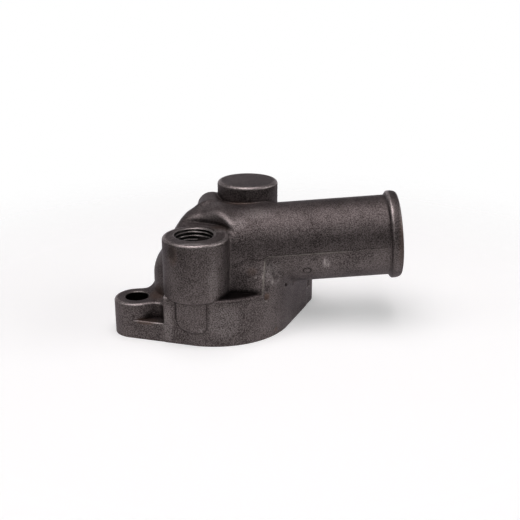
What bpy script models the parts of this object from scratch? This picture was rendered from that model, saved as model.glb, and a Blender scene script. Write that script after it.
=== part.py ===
"""Thermostat housing: one casting with a bolted flange, a round chamber and an outlet neck.

The chamber opens downwards at the joint face. An elbow turns the coolant from the
chamber into the neck, which leaves to +X and climbs a little. A hose is pushed over the
neck and held behind its bead. A threaded boss at the front takes a sensor. A blank boss
behind the neck and a small one at the rear of the elbow are left as cast.

The joint face lies on Z = 0 and +Z is up. The origin is the middle of the housing's
length and width, on the joint face. Sizes are in millimetres and angles in degrees; the
meshes are made in metres.
"""
import math

import bmesh
import bpy
from mathutils import Matrix, Vector

MM = 0.001

# Flange and bolt ears
CHAMBER_FLANGE_R = 30.0
FLANGE_T = 7.5
EAR_R = 8.8
EAR_H = 14.0
BOLT_HOLE_D = 9.0
LEFT_BOLT_R = 33.7
LEFT_BOLT_ANGLE = 203.1
RIGHT_BOLT_R = 36.6
RIGHT_BOLT_ANGLE = 32.2
WEB_R = 6.6
WEB_SETBACK = 1.2
WEB_DROP = 0.2

# Chamber
CHAMBER_OUTER_R = 24.8
CHAMBER_WALL = 3.6
CHAMBER_ROOF = 3.6
DRUM_DROP = 0.3
SEAT_R = 26.2
SEAT_DEPTH = 3.4

# Front block under the threaded boss
BLOCK_TOP = 18.6
BLOCK_PROUD = 0.2
BLOCK_FLANK_X = -19.4
SKIRT_START_X = 2.0
SKIRT_START_DEPTH = 20.3
SKIRT_CORNER_X = 18.4
SKIRT_SINK = 0.15
SKIRT_END_X = 29.4
SKIRT_LIP = 0.5
HANG_START = 4.0
HANG_END = 60.0
CHEEK_START_X = 18.8
CHEEK_RUN = 3.6
CHEEK_RISE = 4.9
EAR_NOTCH = 3.4
PAD_X = -8.25
PAD_HALF_WIDTH = 5.45
PAD_CORNER_R = 4.5
PAD_PROUD = 0.7
PAD_FOOT = 5.1

# Elbow
HEEL_SLOPE = 57.7
HEEL_CORNER_Z = 24.3
HEEL_LOWER_ROUND = 9.0
HEEL_UPPER_ROUND = 19.0
KNUCKLE_RISE = 2.6
KNUCKLE_X = -3.5
KNUCKLE_RUN_OUT_X = 5.5
HEEL_FOOT_PROUD = 0.3
ELBOW_HALF_WIDTH = 21.2
ELBOW_WALL = 3.4
ELBOW_SINK = 0.1
ELBOW_TOE = 0.6
FOOT_SQUARENESS = 2.7
PIVOT_X = 19.5

# Neck and bead
NECK_BORE_D = 25.6
NECK_WALL = 3.1
NECK_AXIS_Z = 30.0
NECK_CLIMB = 4.3
NECK_ROOT_X = 12.4
NECK_END_X = 73.5
BEAD_D = 34.8
BEAD_LENGTH = 4.4
BEAD_STEP = 0.9
BEAD_SHOULDER = 0.7
BEAD_FALL = 0.45
BEAD_SQUARENESS = 2.6

# Threaded boss, with the room for a spanner behind it
SENSOR_X = -7.0
SENSOR_Y = -19.5
SENSOR_BOSS_R = 12.6
SENSOR_BOSS_TOP = 41.0
THREAD_MINOR_D = 14.4
THREAD_MOUTH_D = 16.6
SENSOR_HOLE_DEPTH = 28.5
SENSOR_HOLE_SHIFT_X = -0.4
SENSOR_HOLE_SHIFT_Y = 1.7
SPANNER_ROOM_R = 24.4
SPANNER_ROOM_SHIFT_X = 6.6
SPANNER_ROOM_SHIFT_Y = 7.0
SPANNER_ROOM_WALL = 1.6
SPANNER_ROOM_ROUND = 3.6

# Blank bosses: one on top, behind the neck, and one that points to the rear
BLANK_X = 12.2
BLANK_Y = 16.3
BLANK_R = 12.3
BLANK_FOOT = 28.5
BLANK_TOP = 53.1
BLANK_RIM = 1.4
REAR_BOSS_X = -2.5
REAR_BOSS_Z = 41.7
REAR_BOSS_R = 6.1
REAR_BOSS_END_Y = 19.0

# Edge rounds and how finely round forms are divided
CAST_ROUND = 1.2
MACHINED_CHAMFER = 0.6
RUN_OUT = 2.0
ROUND_STEPS = 56
SMALL_ROUND_STEPS = 40
PAD_STEPS = 96
SKIRT_STEPS = 10
ARC_STEP = 7.5
RING_POINTS = 44
WELD = 0.004


def polar(reach, angle):
    """Return the plan point at a distance and an angle from the chamber's axis."""
    turn = math.radians(angle)
    return Vector((reach * math.cos(turn), reach * math.sin(turn)))


LEFT_BOLT = polar(LEFT_BOLT_R, LEFT_BOLT_ANGLE)
RIGHT_BOLT = polar(RIGHT_BOLT_R, RIGHT_BOLT_ANGLE)
BLOCK_R = CHAMBER_FLANGE_R + BLOCK_PROUD
CHAMBER_R = CHAMBER_OUTER_R - CHAMBER_WALL
CHAMBER_TOP = BLOCK_TOP - CHAMBER_ROOF
NECK_R = NECK_BORE_D / 2 + NECK_WALL
SPANNER_ROOM = Vector((SENSOR_X - SPANNER_ROOM_SHIFT_X, SENSOR_Y - SPANNER_ROOM_SHIFT_Y))
NECK_DIRECTION = Vector((math.cos(math.radians(NECK_CLIMB)), 0, math.sin(math.radians(NECK_CLIMB))))
LENGTH_MIDDLE = (NECK_END_X + LEFT_BOLT.x - EAR_R) / 2
WIDTH_MIDDLE = (max(CHAMBER_FLANGE_R, RIGHT_BOLT.y + EAR_R, BLANK_Y + BLANK_R)
                + min(SENSOR_Y - SENSOR_BOSS_R, -BLOCK_R)) / 2
CHAMBER_AXIS = Vector((-LENGTH_MIDDLE, -WIDTH_MIDDLE, 0))


def neck_top(x, wall):
    """Return the point (x, z) a hair under the neck's upper side, or under its inner wall."""
    return Vector((x, neck_axis_z(x) + NECK_R - wall - ELBOW_SINK))


def neck_axis_z(x):
    """Return the height of the neck's axis at a distance along the housing."""
    return NECK_AXIS_Z + x * math.tan(math.radians(NECK_CLIMB))


def clear_scene():
    """Remove whatever the scene holds."""
    for old in list(bpy.data.objects):
        bpy.data.objects.remove(old, do_unlink=True)


def solid(name, bm):
    """Turn a finished bmesh, drawn in millimetres about the chamber's axis, into an object."""
    bmesh.ops.translate(bm, verts=bm.verts, vec=CHAMBER_AXIS)
    bmesh.ops.scale(bm, verts=bm.verts, vec=(MM, MM, MM))
    bmesh.ops.recalc_face_normals(bm, faces=bm.faces)
    mesh = bpy.data.meshes.new(name)
    bm.to_mesh(mesh)
    bm.free()
    made = bpy.data.objects.new(name, mesh)
    bpy.context.scene.collection.objects.link(made)
    return made


def extruded(name, outline, bottom, top):
    """Raise a plan outline from one height to another."""
    bm = bmesh.new()
    floor = bm.faces.new([bm.verts.new((x, y, bottom)) for x, y in outline])
    raised = bmesh.ops.extrude_face_region(bm, geom=[floor])
    moved = [item for item in raised["geom"] if isinstance(item, bmesh.types.BMVert)]
    bmesh.ops.translate(bm, verts=moved, vec=(0, 0, top - bottom))
    return solid(name, bm)


def turned(name, profile, place, steps=ROUND_STEPS):
    """Turn a (radius, height) profile, which starts and ends on the axis, and set it in place."""
    bm = bmesh.new()
    points = [bm.verts.new((radius, 0, height)) for radius, height in profile]
    edges = [bm.edges.new(pair) for pair in zip(points, points[1:])]
    bmesh.ops.spin(bm, geom=points + edges, axis=(0, 0, 1), cent=(0, 0, 0),
                   angle=math.tau, steps=steps, use_merge=True)
    bmesh.ops.remove_doubles(bm, verts=bm.verts, dist=1e-4)
    bmesh.ops.transform(bm, matrix=place, verts=bm.verts)
    return solid(name, bm)


def upright(name, centre, radius, bottom, top, rim=0.0, steps=SMALL_ROUND_STEPS):
    """Make an upright cylinder, with its top edge rounded by rim."""
    profile = [(0, bottom), (radius, bottom), (radius, top - rim)]
    if rim > 0:
        profile += quarter(radius - rim, top - rim, rim)
    else:
        profile += [(radius, top)]
    profile += [(0, top)]
    return turned(name, profile, Matrix.Translation((centre[0], centre[1], 0)), steps)


def quarter(radius, height, rim, count=3):
    """Return the points of a quarter round that closes a turned profile's outer edge."""
    turns = [math.pi / 2 * step / count for step in range(1, count + 1)]
    return [(radius + rim * math.cos(turn), height + rim * math.sin(turn)) for turn in turns]


def arc(centre, radius, start, end):
    """Return points on an anticlockwise arc between two angles in degrees."""
    sweep = (end - start) % 360
    count = max(2, math.ceil(sweep / ARC_STEP))
    return [centre + polar(radius, start + sweep * step / count) for step in range(count + 1)]


def belt(circles):
    """Return the outline of a belt that runs anticlockwise round the outside of circles."""
    normals = []
    for (here, here_r), (there, there_r) in zip(circles, circles[1:] + circles[:1]):
        run = there - here
        heading = math.degrees(math.atan2(run.y, run.x))
        lean = math.degrees(math.acos((here_r - there_r) / run.length))
        normals.append(heading - lean)
    outline = []
    for index, (centre, radius) in enumerate(circles):
        outline += arc(centre, radius, normals[index - 1], normals[index])
    return outline


def flange_outline():
    """Return the flange's outline: the chamber's circle and two ears, joined by tangents."""
    middle = Vector((0, 0))
    return belt([(LEFT_BOLT, EAR_R), (middle, CHAMBER_FLANGE_R),
                 (RIGHT_BOLT, EAR_R), (middle, CHAMBER_FLANGE_R)])


def right_tangent_angle():
    """Return the direction in which the flange's right front side faces."""
    lean = math.degrees(math.acos((CHAMBER_FLANGE_R - EAR_R) / RIGHT_BOLT_R))
    return RIGHT_BOLT_ANGLE - lean


def left_tangent_angle():
    """Return the direction in which the flange's left front side faces."""
    lean = math.degrees(math.acos((CHAMBER_FLANGE_R - EAR_R) / LEFT_BOLT_R))
    return LEFT_BOLT_ANGLE + lean - 360


def block_outline():
    """Return the front block's outline: the flange's front, from its flank to the right ear."""
    leaving = left_tangent_angle()
    facing = right_tangent_angle()
    front = arc(Vector((0, 0)), BLOCK_R, leaving, facing)
    side = polar(1, leaving - 90)
    flank = front[0] + side * ((BLOCK_FLANK_X - front[0].x) / side.x)
    side_end = RIGHT_BOLT + polar(EAR_R + BLOCK_PROUD, facing) - polar(EAR_NOTCH + EAR_R / 2, facing + 90)
    inside = CHAMBER_R + CHAMBER_WALL / 2
    return [flank] + front + [side_end, side_end - polar(EAR_R, facing), polar(inside, RIGHT_BOLT_ANGLE),
                              Vector((0, 0)), Vector((BLOCK_FLANK_X, BLOCK_FLANK_X / 2))]


def skirt():
    """Loft the wall that leans from the neck's side down to the block's top.

    Its foot stands on the block's top, set back at the threaded boss. From the corner on it
    follows the block's front, which rises there into a cheek, and slips under the neck.
    """
    low = BLOCK_TOP - CAST_ROUND
    corner_depth = front_depth(SKIRT_CORNER_X)
    bm = bmesh.new()
    sections = []
    for x in skirt_stations():
        share = (x - SKIRT_START_X) / (SKIRT_CORNER_X - SKIRT_START_X)
        depth = SKIRT_START_DEPTH + (corner_depth - SKIRT_START_DEPTH) * share
        if x > SKIRT_CORNER_X:
            depth = front_depth(x)
        under = max(0, (x - SKIRT_CORNER_X) / (SKIRT_END_X - SKIRT_CORNER_X))
        hang = polar(NECK_R - SKIRT_SINK, HANG_START + (HANG_END - HANG_START) * under)
        hang_z = neck_axis_z(x) - hang.y
        rise = min(1, max(0, (x - CHEEK_START_X) / CHEEK_RUN))
        top = min(BLOCK_TOP + CHEEK_RISE * rise * rise * (3 - 2 * rise), hang_z - SKIRT_LIP)
        points = [(0, low), (-depth, low), (-depth, top), (-hang.x, hang_z), (0, hang_z)]
        sections.append([bm.verts.new((x, y, z)) for y, z in points])
    for near, far in zip(sections, sections[1:]):
        bridge(bm, near, far)
    bm.faces.new(sections[0])
    bm.faces.new(sections[-1])
    return solid("skirt", bm)


def front_depth(x):
    """Return how far in front of the chamber's axis the block's outline lies, a hair inside it."""
    reach = BLOCK_R - SKIRT_SINK
    facing = polar(1, right_tangent_angle())
    if x < reach * facing.x:
        return math.sqrt(reach ** 2 - x ** 2)
    return (reach - x * facing.x) / -facing.y


def skirt_stations():
    """Return the places along the housing at which the skirt's sections stand."""
    stations = []
    for start, end in ((SKIRT_START_X, SKIRT_CORNER_X), (SKIRT_CORNER_X, SKIRT_END_X)):
        stations += [start + (end - start) * step / SKIRT_STEPS for step in range(SKIRT_STEPS)]
    return stations + [SKIRT_END_X]


def pad():
    """Stamp the shallow pad under the threaded boss out of a ring a little proud of the block."""
    top = BLOCK_TOP - CAST_ROUND
    low = PAD_FOOT + PAD_CORNER_R
    left = PAD_X - PAD_HALF_WIDTH
    right = PAD_X + PAD_HALF_WIDTH
    outline = arc(Vector((left + PAD_CORNER_R, low)), PAD_CORNER_R, 180, 270)
    outline += arc(Vector((right - PAD_CORNER_R, low)), PAD_CORNER_R, 270, 0)
    outline += [Vector((right, top)), Vector((left, top))]
    bm = bmesh.new()
    front = bm.faces.new([bm.verts.new((x, -BLOCK_R - RUN_OUT, z)) for x, z in outline])
    raised = bmesh.ops.extrude_face_region(bm, geom=[front])
    moved = [item for item in raised["geom"] if isinstance(item, bmesh.types.BMVert)]
    bmesh.ops.translate(bm, verts=moved, vec=(0, BLOCK_R - CHAMBER_OUTER_R + RUN_OUT, 0))
    ring = upright("pad_ring", (0, 0), BLOCK_R + PAD_PROUD, 0, BLOCK_TOP, 0, PAD_STEPS)
    return combine(solid("pad", bm), [ring], "INTERSECT")


def rounded_corner(before, corner, after, radius):
    """Return points of the arc that rounds a corner of a polyline."""
    to_before = (before - corner).normalized()
    to_after = (after - corner).normalized()
    half = to_before.angle(to_after) / 2
    setback = radius / math.tan(half)
    centre = corner + (to_before + to_after).normalized() * radius / math.sin(half)
    first = corner + to_before * setback - centre
    turn = first.angle_signed(corner + to_after * setback - centre)
    count = max(3, math.ceil(abs(math.degrees(turn)) / ARC_STEP))
    points = []
    for step in range(count + 1):
        points.append(centre + Matrix.Rotation(-turn * step / count, 2) @ first)
    return points


def heel_profile(wall):
    """Return the elbow's back, in (x, z), from the chamber's side to the top of the neck.

    The back rises straight from the chamber, leans over at the heel and runs out along a
    low knuckle into the neck. A wall moves the whole back inwards, for the water's side.
    """
    slope = polar(1, HEEL_SLOPE)
    side_x = -CHAMBER_OUTER_R - HEEL_FOOT_PROUD + wall
    inward = Vector((slope.y, -slope.x)) * wall
    heel = Vector((-CHAMBER_OUTER_R, HEEL_CORNER_Z)) + inward
    lower = heel + slope * ((side_x - heel.x) / slope.x)
    climb = polar(1, NECK_CLIMB)
    crown = Vector((0, NECK_AXIS_Z + NECK_R + KNUCKLE_RISE - wall))
    along = ((crown - lower).cross(climb)) / slope.cross(climb)
    upper = lower + slope * along
    foot = Vector((side_x, CHAMBER_TOP - CHAMBER_ROOF))
    end = neck_top(PIVOT_X, wall)
    knuckle = Vector((KNUCKLE_X, crown.y + KNUCKLE_X * climb.y))
    points = [foot]
    points += rounded_corner(foot, lower, upper, HEEL_LOWER_ROUND - wall / 2)
    points += rounded_corner(lower, upper, knuckle, HEEL_UPPER_ROUND - wall)
    if points[-1].x < knuckle.x:
        points.append(knuckle)
    points += [neck_top(KNUCKLE_RUN_OUT_X, wall), end]
    return points


def elbow(name, wall):
    """Loft the elbow through rings that fan out from a pivot under the neck."""
    pivot = Vector((PIVOT_X, neck_axis_z(PIVOT_X) - NECK_R))
    profile = heel_profile(wall)
    bm = bmesh.new()
    rings = []
    for index, back in enumerate(profile):
        reach = back - pivot
        share = index / (len(profile) - 1)
        inner = ELBOW_TOE + wall
        half_length = (reach.length - inner) / 2
        outward = reach.normalized()
        centre = pivot + outward * (inner + half_length)
        turn = math.degrees(math.atan2(reach.y, -reach.x))
        blend = min(1, max(0, turn / 90))
        half_width = ELBOW_HALF_WIDTH + (NECK_R - ELBOW_SINK - ELBOW_HALF_WIDTH) * blend - wall
        power = FOOT_SQUARENESS + (2 - FOOT_SQUARENESS) * share
        rings.append(elbow_ring(bm, centre, outward, half_length, half_width, power))
    for near, far in zip(rings, rings[1:]):
        bridge(bm, near, far)
    bm.faces.new(rings[0])
    bm.faces.new(rings[-1])
    return solid(name, bm)


def elbow_ring(bm, centre, outward, half_length, half_width, power):
    """Add one ring of the elbow: an oval, squarer where it meets the chamber."""
    ring = []
    for step in range(RING_POINTS):
        turn = math.tau * step / RING_POINTS
        along = math.copysign(abs(math.cos(turn)) ** (2 / power), math.cos(turn)) * half_length
        across = math.copysign(abs(math.sin(turn)) ** (2 / power), math.sin(turn)) * half_width
        point = centre + outward * along
        ring.append(bm.verts.new((point.x, across, point.y)))
    return ring


def bridge(bm, near, far):
    """Join two rings of equal count with a band of faces."""
    for here in range(len(near)):
        there = (here + 1) % len(near)
        bm.faces.new((near[here], near[there], far[there], far[here]))


def along_neck(start_x):
    """Return the placement that turns Z into the neck's direction, from a point on its axis."""
    lean = Matrix.Rotation(math.radians(90 - NECK_CLIMB), 4, "Y")
    return Matrix.Translation((start_x, 0, neck_axis_z(start_x))) @ lean


def neck():
    """Turn the neck with the bead that holds the hose."""
    length = (NECK_END_X - NECK_ROOT_X) / NECK_DIRECTION.x - NECK_R * NECK_DIRECTION.z
    bead_r = BEAD_D / 2
    bead_start = length - BEAD_LENGTH
    crest = bead_start + BEAD_STEP
    profile = [(0, 0), (NECK_R, 0), (NECK_R, bead_start)]
    shoulder = NECK_R + (bead_r - NECK_R) * BEAD_SHOULDER
    profile += [(shoulder, bead_start + BEAD_STEP / 3), (bead_r, crest)]
    drop = (bead_r - NECK_BORE_D / 2) * BEAD_FALL
    for step in range(1, 7):
        turn = math.pi / 2 * step / 6
        fall = 1 - math.cos(turn) ** (2 / BEAD_SQUARENESS)
        along = math.sin(turn) ** (2 / BEAD_SQUARENESS)
        profile.append((bead_r - drop * fall, crest + (length - crest) * along))
    profile += [(0, length)]
    return turned("neck", profile, along_neck(NECK_ROOT_X))


def horizontal_boss():
    """Turn the small blank boss that points to the rear."""
    depth = REAR_BOSS_END_Y
    profile = [(0, 0), (REAR_BOSS_R, 0), (REAR_BOSS_R, depth - CAST_ROUND)]
    profile += quarter(REAR_BOSS_R - CAST_ROUND, depth - CAST_ROUND, CAST_ROUND)
    profile += [(0, depth)]
    place = Matrix.Translation((REAR_BOSS_X, 0, REAR_BOSS_Z)) @ Matrix.Rotation(math.radians(-90), 4, "X")
    return turned("rear_boss", profile, place, SMALL_ROUND_STEPS)


def ear(side, bolt):
    """Raise one bolt ear's boss, and the web that ties it to the chamber."""
    boss = upright(side + "_ear", bolt, EAR_R, 0, EAR_H, CAST_ROUND)
    inward = -bolt.normalized()
    web_line = belt([(bolt + inward * WEB_SETBACK, WEB_R), (inward * -WEB_R * 2, WEB_R)])
    web = rounded(extruded(side + "_web", web_line, FLANGE_T / 2, EAR_H - WEB_DROP), CAST_ROUND)
    return [boss, web]


def rounded(made, width):
    """Round the upper edges of an extruded piece with a Bevel modifier."""
    bevel = made.modifiers.new("edge rounds", "BEVEL")
    bevel.width = width * MM
    bevel.segments = 2
    bevel.limit_method = "ANGLE"
    bevel.angle_limit = math.radians(50)
    bevel.use_clamp_overlap = True
    return made


def cast_forms():
    """Make every outer form of the casting."""
    forms = [rounded(extruded("flange", flange_outline(), 0, FLANGE_T), MACHINED_CHAMFER)]
    forms += ear("left", LEFT_BOLT)
    forms += ear("right", RIGHT_BOLT)
    forms += [upright("drum", (0, 0), CHAMBER_OUTER_R, FLANGE_T / 2, BLOCK_TOP - DRUM_DROP, CAST_ROUND, ROUND_STEPS)]
    forms += [rounded(extruded("block", block_outline(), 0, BLOCK_TOP), CAST_ROUND)]
    forms += [skirt()]
    forms += [pad()]
    forms += [combine(elbow("elbow", 0), [spanner_room()], "DIFFERENCE"), neck()]
    forms += [upright("sensor_boss", (SENSOR_X, SENSOR_Y), SENSOR_BOSS_R,
                      BLOCK_TOP - SKIRT_SINK, SENSOR_BOSS_TOP, MACHINED_CHAMFER, ROUND_STEPS)]
    forms += [upright("blank_boss", (BLANK_X, BLANK_Y), BLANK_R,
                      BLANK_FOOT, BLANK_TOP, BLANK_RIM, ROUND_STEPS)]
    forms += [horizontal_boss()]
    return forms


def water_cores():
    """Make the cutters that shape the water's side: seat, chamber, elbow and neck bore."""
    seat = upright("seat_cut", (0, 0), SEAT_R, -RUN_OUT, SEAT_DEPTH, 0, ROUND_STEPS)
    chamber = upright("chamber_cut", (0, 0), CHAMBER_R, -RUN_OUT, CHAMBER_TOP, CAST_ROUND, ROUND_STEPS)
    bend = elbow("elbow_cut", ELBOW_WALL)
    floor = upright("spanner_floor", SPANNER_ROOM, SPANNER_ROOM_R + ELBOW_WALL,
                    SENSOR_BOSS_TOP - ELBOW_WALL, BLANK_TOP, 0, ROUND_STEPS)
    bend = combine(bend, [floor], "DIFFERENCE")
    length = NECK_END_X / NECK_DIRECTION.x
    bore_r = NECK_BORE_D / 2
    profile = [(0, 0), (bore_r, 0), (bore_r, length), (0, length)]
    bore = turned("bore_cut", profile, along_neck(PIVOT_X / 2))
    return [seat, chamber, bend, bore]


def spanner_room():
    """Make the cutter of the room behind the threaded boss, with its flared upper edge."""
    brim = SENSOR_BOSS_TOP + SPANNER_ROOM_WALL
    profile = [(0, SENSOR_BOSS_TOP), (SPANNER_ROOM_R, SENSOR_BOSS_TOP), (SPANNER_ROOM_R, brim)]
    for step in range(1, 5):
        turn = math.pi / 2 * step / 4
        profile.append((SPANNER_ROOM_R + SPANNER_ROOM_ROUND * (1 - math.cos(turn)),
                        brim + SPANNER_ROOM_ROUND * math.sin(turn)))
    profile += [(SPANNER_ROOM_R + 2 * SPANNER_ROOM_ROUND, BLANK_TOP), (0, BLANK_TOP)]
    place = Matrix.Translation((SPANNER_ROOM.x, SPANNER_ROOM.y, 0))
    return turned("spanner_cut", profile, place)


def machining():
    """Make the cutters for the threaded hole, the room behind it and the bolt holes."""
    top = SENSOR_BOSS_TOP
    minor = THREAD_MINOR_D / 2
    mouth = THREAD_MOUTH_D / 2
    lead = mouth - minor
    profile = [(0, top - SENSOR_HOLE_DEPTH), (minor, top - SENSOR_HOLE_DEPTH), (minor, top - lead),
               (mouth + RUN_OUT, top + RUN_OUT), (0, top + RUN_OUT)]
    place = Matrix.Translation((SENSOR_X + SENSOR_HOLE_SHIFT_X, SENSOR_Y + SENSOR_HOLE_SHIFT_Y, 0))
    cuts = [turned("sensor_cut", profile, place, SMALL_ROUND_STEPS)]
    for side, bolt in (("left", LEFT_BOLT), ("right", RIGHT_BOLT)):
        cuts.append(upright(side + "_bolt_cut", bolt, BOLT_HOLE_D / 2, -RUN_OUT, EAR_H + RUN_OUT))
    return cuts


def finished_mesh(made):
    """Return an object's evaluated mesh as a new mesh."""
    bpy.context.view_layer.update()
    graph = bpy.context.evaluated_depsgraph_get()
    return bpy.data.meshes.new_from_object(made.evaluated_get(graph))


def welded(mesh):
    """Merge the points that a Boolean leaves closer together than the weld distance."""
    bm = bmesh.new()
    bm.from_mesh(mesh)
    bmesh.ops.remove_doubles(bm, verts=bm.verts, dist=WELD * MM)
    bmesh.ops.dissolve_degenerate(bm, edges=bm.edges, dist=WELD * MM)
    bm.to_mesh(mesh)
    bm.free()
    return mesh


def combine(base, others, operation):
    """Apply a Boolean of each other object to the base, and remove the others."""
    for other in others:
        other.hide_render = True
        other.display_type = "WIRE"
        cut = base.modifiers.new(other.name, "BOOLEAN")
        cut.operation = operation
        cut.solver = "EXACT"
        cut.object = other
        base.data = welded(finished_mesh(base))
        base.modifiers.clear()
        bpy.data.objects.remove(other, do_unlink=True)
    return base


def cast_metal():
    """Make the casting's material: dull grey brown metal with a blasted skin."""
    material = bpy.data.materials.new("cast_metal")
    material.use_nodes = True
    shader = material.node_tree.nodes["Principled BSDF"]
    shader.inputs["Base Color"].default_value = (0.105, 0.085, 0.078, 1)
    shader.inputs["Metallic"].default_value = 0.6
    shader.inputs["Roughness"].default_value = 0.55
    return material


def housing():
    """Join the outer forms, then cut the water's side and the machined holes."""
    forms = cast_forms()
    casting = combine(forms[0], forms[1:], "UNION")
    casting = combine(casting, water_cores() + machining(), "DIFFERENCE")
    casting.name = "outlet_housing"
    casting.data.name = "outlet_housing"
    casting.data.materials.clear()
    casting.data.materials.append(cast_metal())
    casting.data.shade_smooth()
    casting.data.set_sharp_from_angle(angle=math.radians(32))
    return casting


clear_scene()
housing()
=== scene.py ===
"""The looks of a thermostat housing: one die casting, its machined faces and its metal.

The casting's skin is drawn as a distance field: each form of it, such as the flange or the
neck, says how far a point is from its surface, and neighbouring forms run into each other
through fillets. The field is meshed, refined where a detail is fine, and machined.

Sizes are in millimetres about the chamber's axis, with the joint face on Z = 0, and are
moved to the frame's place and to metres when a mesh is made.
"""
from __future__ import annotations

import logging
import math
from dataclasses import dataclass
from enum import Enum
from typing import Callable, Sequence

import bmesh
import bpy
import numpy as np
from mathutils import Matrix, Vector

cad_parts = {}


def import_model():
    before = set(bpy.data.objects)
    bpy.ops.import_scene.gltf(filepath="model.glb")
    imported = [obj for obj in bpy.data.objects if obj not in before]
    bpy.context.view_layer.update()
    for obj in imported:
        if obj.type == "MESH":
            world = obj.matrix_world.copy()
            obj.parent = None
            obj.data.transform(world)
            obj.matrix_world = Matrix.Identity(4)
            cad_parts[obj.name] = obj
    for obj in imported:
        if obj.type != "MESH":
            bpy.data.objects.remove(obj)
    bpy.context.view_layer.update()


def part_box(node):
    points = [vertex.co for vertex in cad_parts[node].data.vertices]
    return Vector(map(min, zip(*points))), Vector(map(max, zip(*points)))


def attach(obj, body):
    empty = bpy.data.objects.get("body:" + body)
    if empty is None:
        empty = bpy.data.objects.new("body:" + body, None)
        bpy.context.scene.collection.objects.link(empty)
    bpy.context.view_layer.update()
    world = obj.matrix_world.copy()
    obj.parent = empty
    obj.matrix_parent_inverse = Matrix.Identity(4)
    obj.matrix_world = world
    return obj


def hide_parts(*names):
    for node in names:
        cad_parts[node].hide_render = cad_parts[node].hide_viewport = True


MM = 0.001
NODE = "outlet_housing"
BODY = "root"
LOG = logging.getLogger("thermostat_housing")


# Distances

@dataclass
class Cloud:
    """Points at which a distance is asked for, in millimetres."""

    x: np.ndarray
    y: np.ndarray
    z: np.ndarray

    @classmethod
    def of(cls, points: np.ndarray) -> Cloud:
        """Return the cloud of an array with one point in each row."""
        return cls(points[:, 0], points[:, 1], points[:, 2])

    def disc(self, centre: Sequence[float], radius: float) -> np.ndarray:
        """Return the distance to an endless upright cylinder.

        Args:
            centre: The cylinder's axis in the plan.
            radius: Its radius.

        Returns:
            One distance for each point, negative inside.
        """
        return np.hypot(self.x - centre[0], self.y - centre[1]) - radius

    def slab(self, low: float, high: float | np.ndarray) -> np.ndarray:
        """Return the distance to the layer between two heights."""
        return np.maximum(low - self.z, self.z - high)

    def away(self, middle: Vector, size: Sequence[float] = (1.0, 1.0, 1.0)) -> np.ndarray:
        """Return how far the points lie from a middle, in parts of a size along each axis."""
        aside, behind = (self.x - middle.x) / size[0], (self.y - middle.y) / size[1]
        return np.sqrt(aside ** 2 + behind ** 2 + ((self.z - middle.z) / size[2]) ** 2)

    def taper(self, start: Vector, start_r: float, end: Vector, end_r: float) -> np.ndarray:
        """Return the plan distance to two circles joined by their outer tangents.

        Args:
            start: Centre of the first circle.
            start_r: Its radius.
            end: Centre of the second circle.
            end_r: Its radius.

        Returns:
            One distance for each point, negative inside.
        """
        run = end - start
        heading = run.normalized()
        along = (self.x - start.x) * heading.x + (self.y - start.y) * heading.y
        across = np.abs((self.y - start.y) * heading.x - (self.x - start.x) * heading.y)
        lean = (start_r - end_r) / run.length
        level = math.sqrt(1 - lean * lean)
        place = along * level - across * lean
        side = across * level + along * lean - start_r
        side = np.where(place < 0, np.hypot(across, along) - start_r, side)
        past = place > level * run.length
        return np.where(past, np.hypot(across, along - run.length) - end_r, side)


def meet(first: np.ndarray, second: np.ndarray, radius: float | np.ndarray) -> np.ndarray:
    """Join two forms, with a fillet of a radius in the corner between them.

    Args:
        first: Distances to one form.
        second: Distances to the other.
        radius: The fillet's radius.

    Returns:
        The distances to the joined form.
    """
    corner = np.hypot(np.maximum(radius - first, 0), np.maximum(radius - second, 0))
    return np.maximum(radius, np.minimum(first, second)) - corner


def overlap(first: np.ndarray, second: np.ndarray, radius: float = 0.0) -> np.ndarray:
    """Keep what lies in both forms, with the edge between them rounded.

    Args:
        first: Distances to one form.
        second: Distances to the other.
        radius: The edge's radius.

    Returns:
        The distances to the common form.
    """
    edge = np.hypot(np.maximum(radius + first, 0), np.maximum(radius + second, 0))
    return np.minimum(-radius, np.maximum(first, second)) + edge


def fillet_rise(wall: np.ndarray, radius: float) -> np.ndarray:
    """Return how far a floor has risen where a fillet takes it up a wall.

    Args:
        wall: Distances to the wall.
        radius: The fillet's radius.

    Returns:
        The rise at each point, zero away from the wall.
    """
    near = np.clip(radius - wall, 0, radius)
    return radius - np.sqrt(radius * radius - near * near)


def egg(along: np.ndarray, out: np.ndarray, behind: float, ahead: float, high: float,
        power: float = 2.0) -> np.ndarray:
    """Return the distance to an oval that is longer and squarer ahead of its middle than behind it.

    Args:
        along: Place along the oval's length, from its middle.
        out: Place across it, from its middle.
        behind: Half length behind the middle.
        ahead: Half length ahead of it.
        high: Half height.
        power: How square the part ahead is, 2 for an ellipse.

    Returns:
        One distance for each point, exact near the oval.
    """
    half = np.where(along < 0, behind, ahead)
    power = np.where(along < 0, 2.0, power)
    flat, tall = np.abs(along / half), np.abs(out / high)
    size = np.maximum((flat ** power + tall ** power) ** (1 / power), 1e-2)
    slope = np.hypot(flat ** (power - 1) / half, tall ** (power - 1) / high) * size ** (1 - power)
    return (size - 1) / np.maximum(slope, 1e-3)


def polar(reach: float, angle: float) -> Vector:
    """Return the plan point at a reach and an angle in degrees from the chamber's axis."""
    turn = math.radians(angle)
    return Vector((reach * math.cos(turn), reach * math.sin(turn)))


def smooth_step(value: np.ndarray, start: float, end: float) -> np.ndarray:
    """Return 0 before a start, 1 after an end and a smooth rise between them."""
    share = np.clip((value - start) / (end - start), 0, 1)
    return share * share * (3 - 2 * share)


# Forms of the casting

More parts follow.
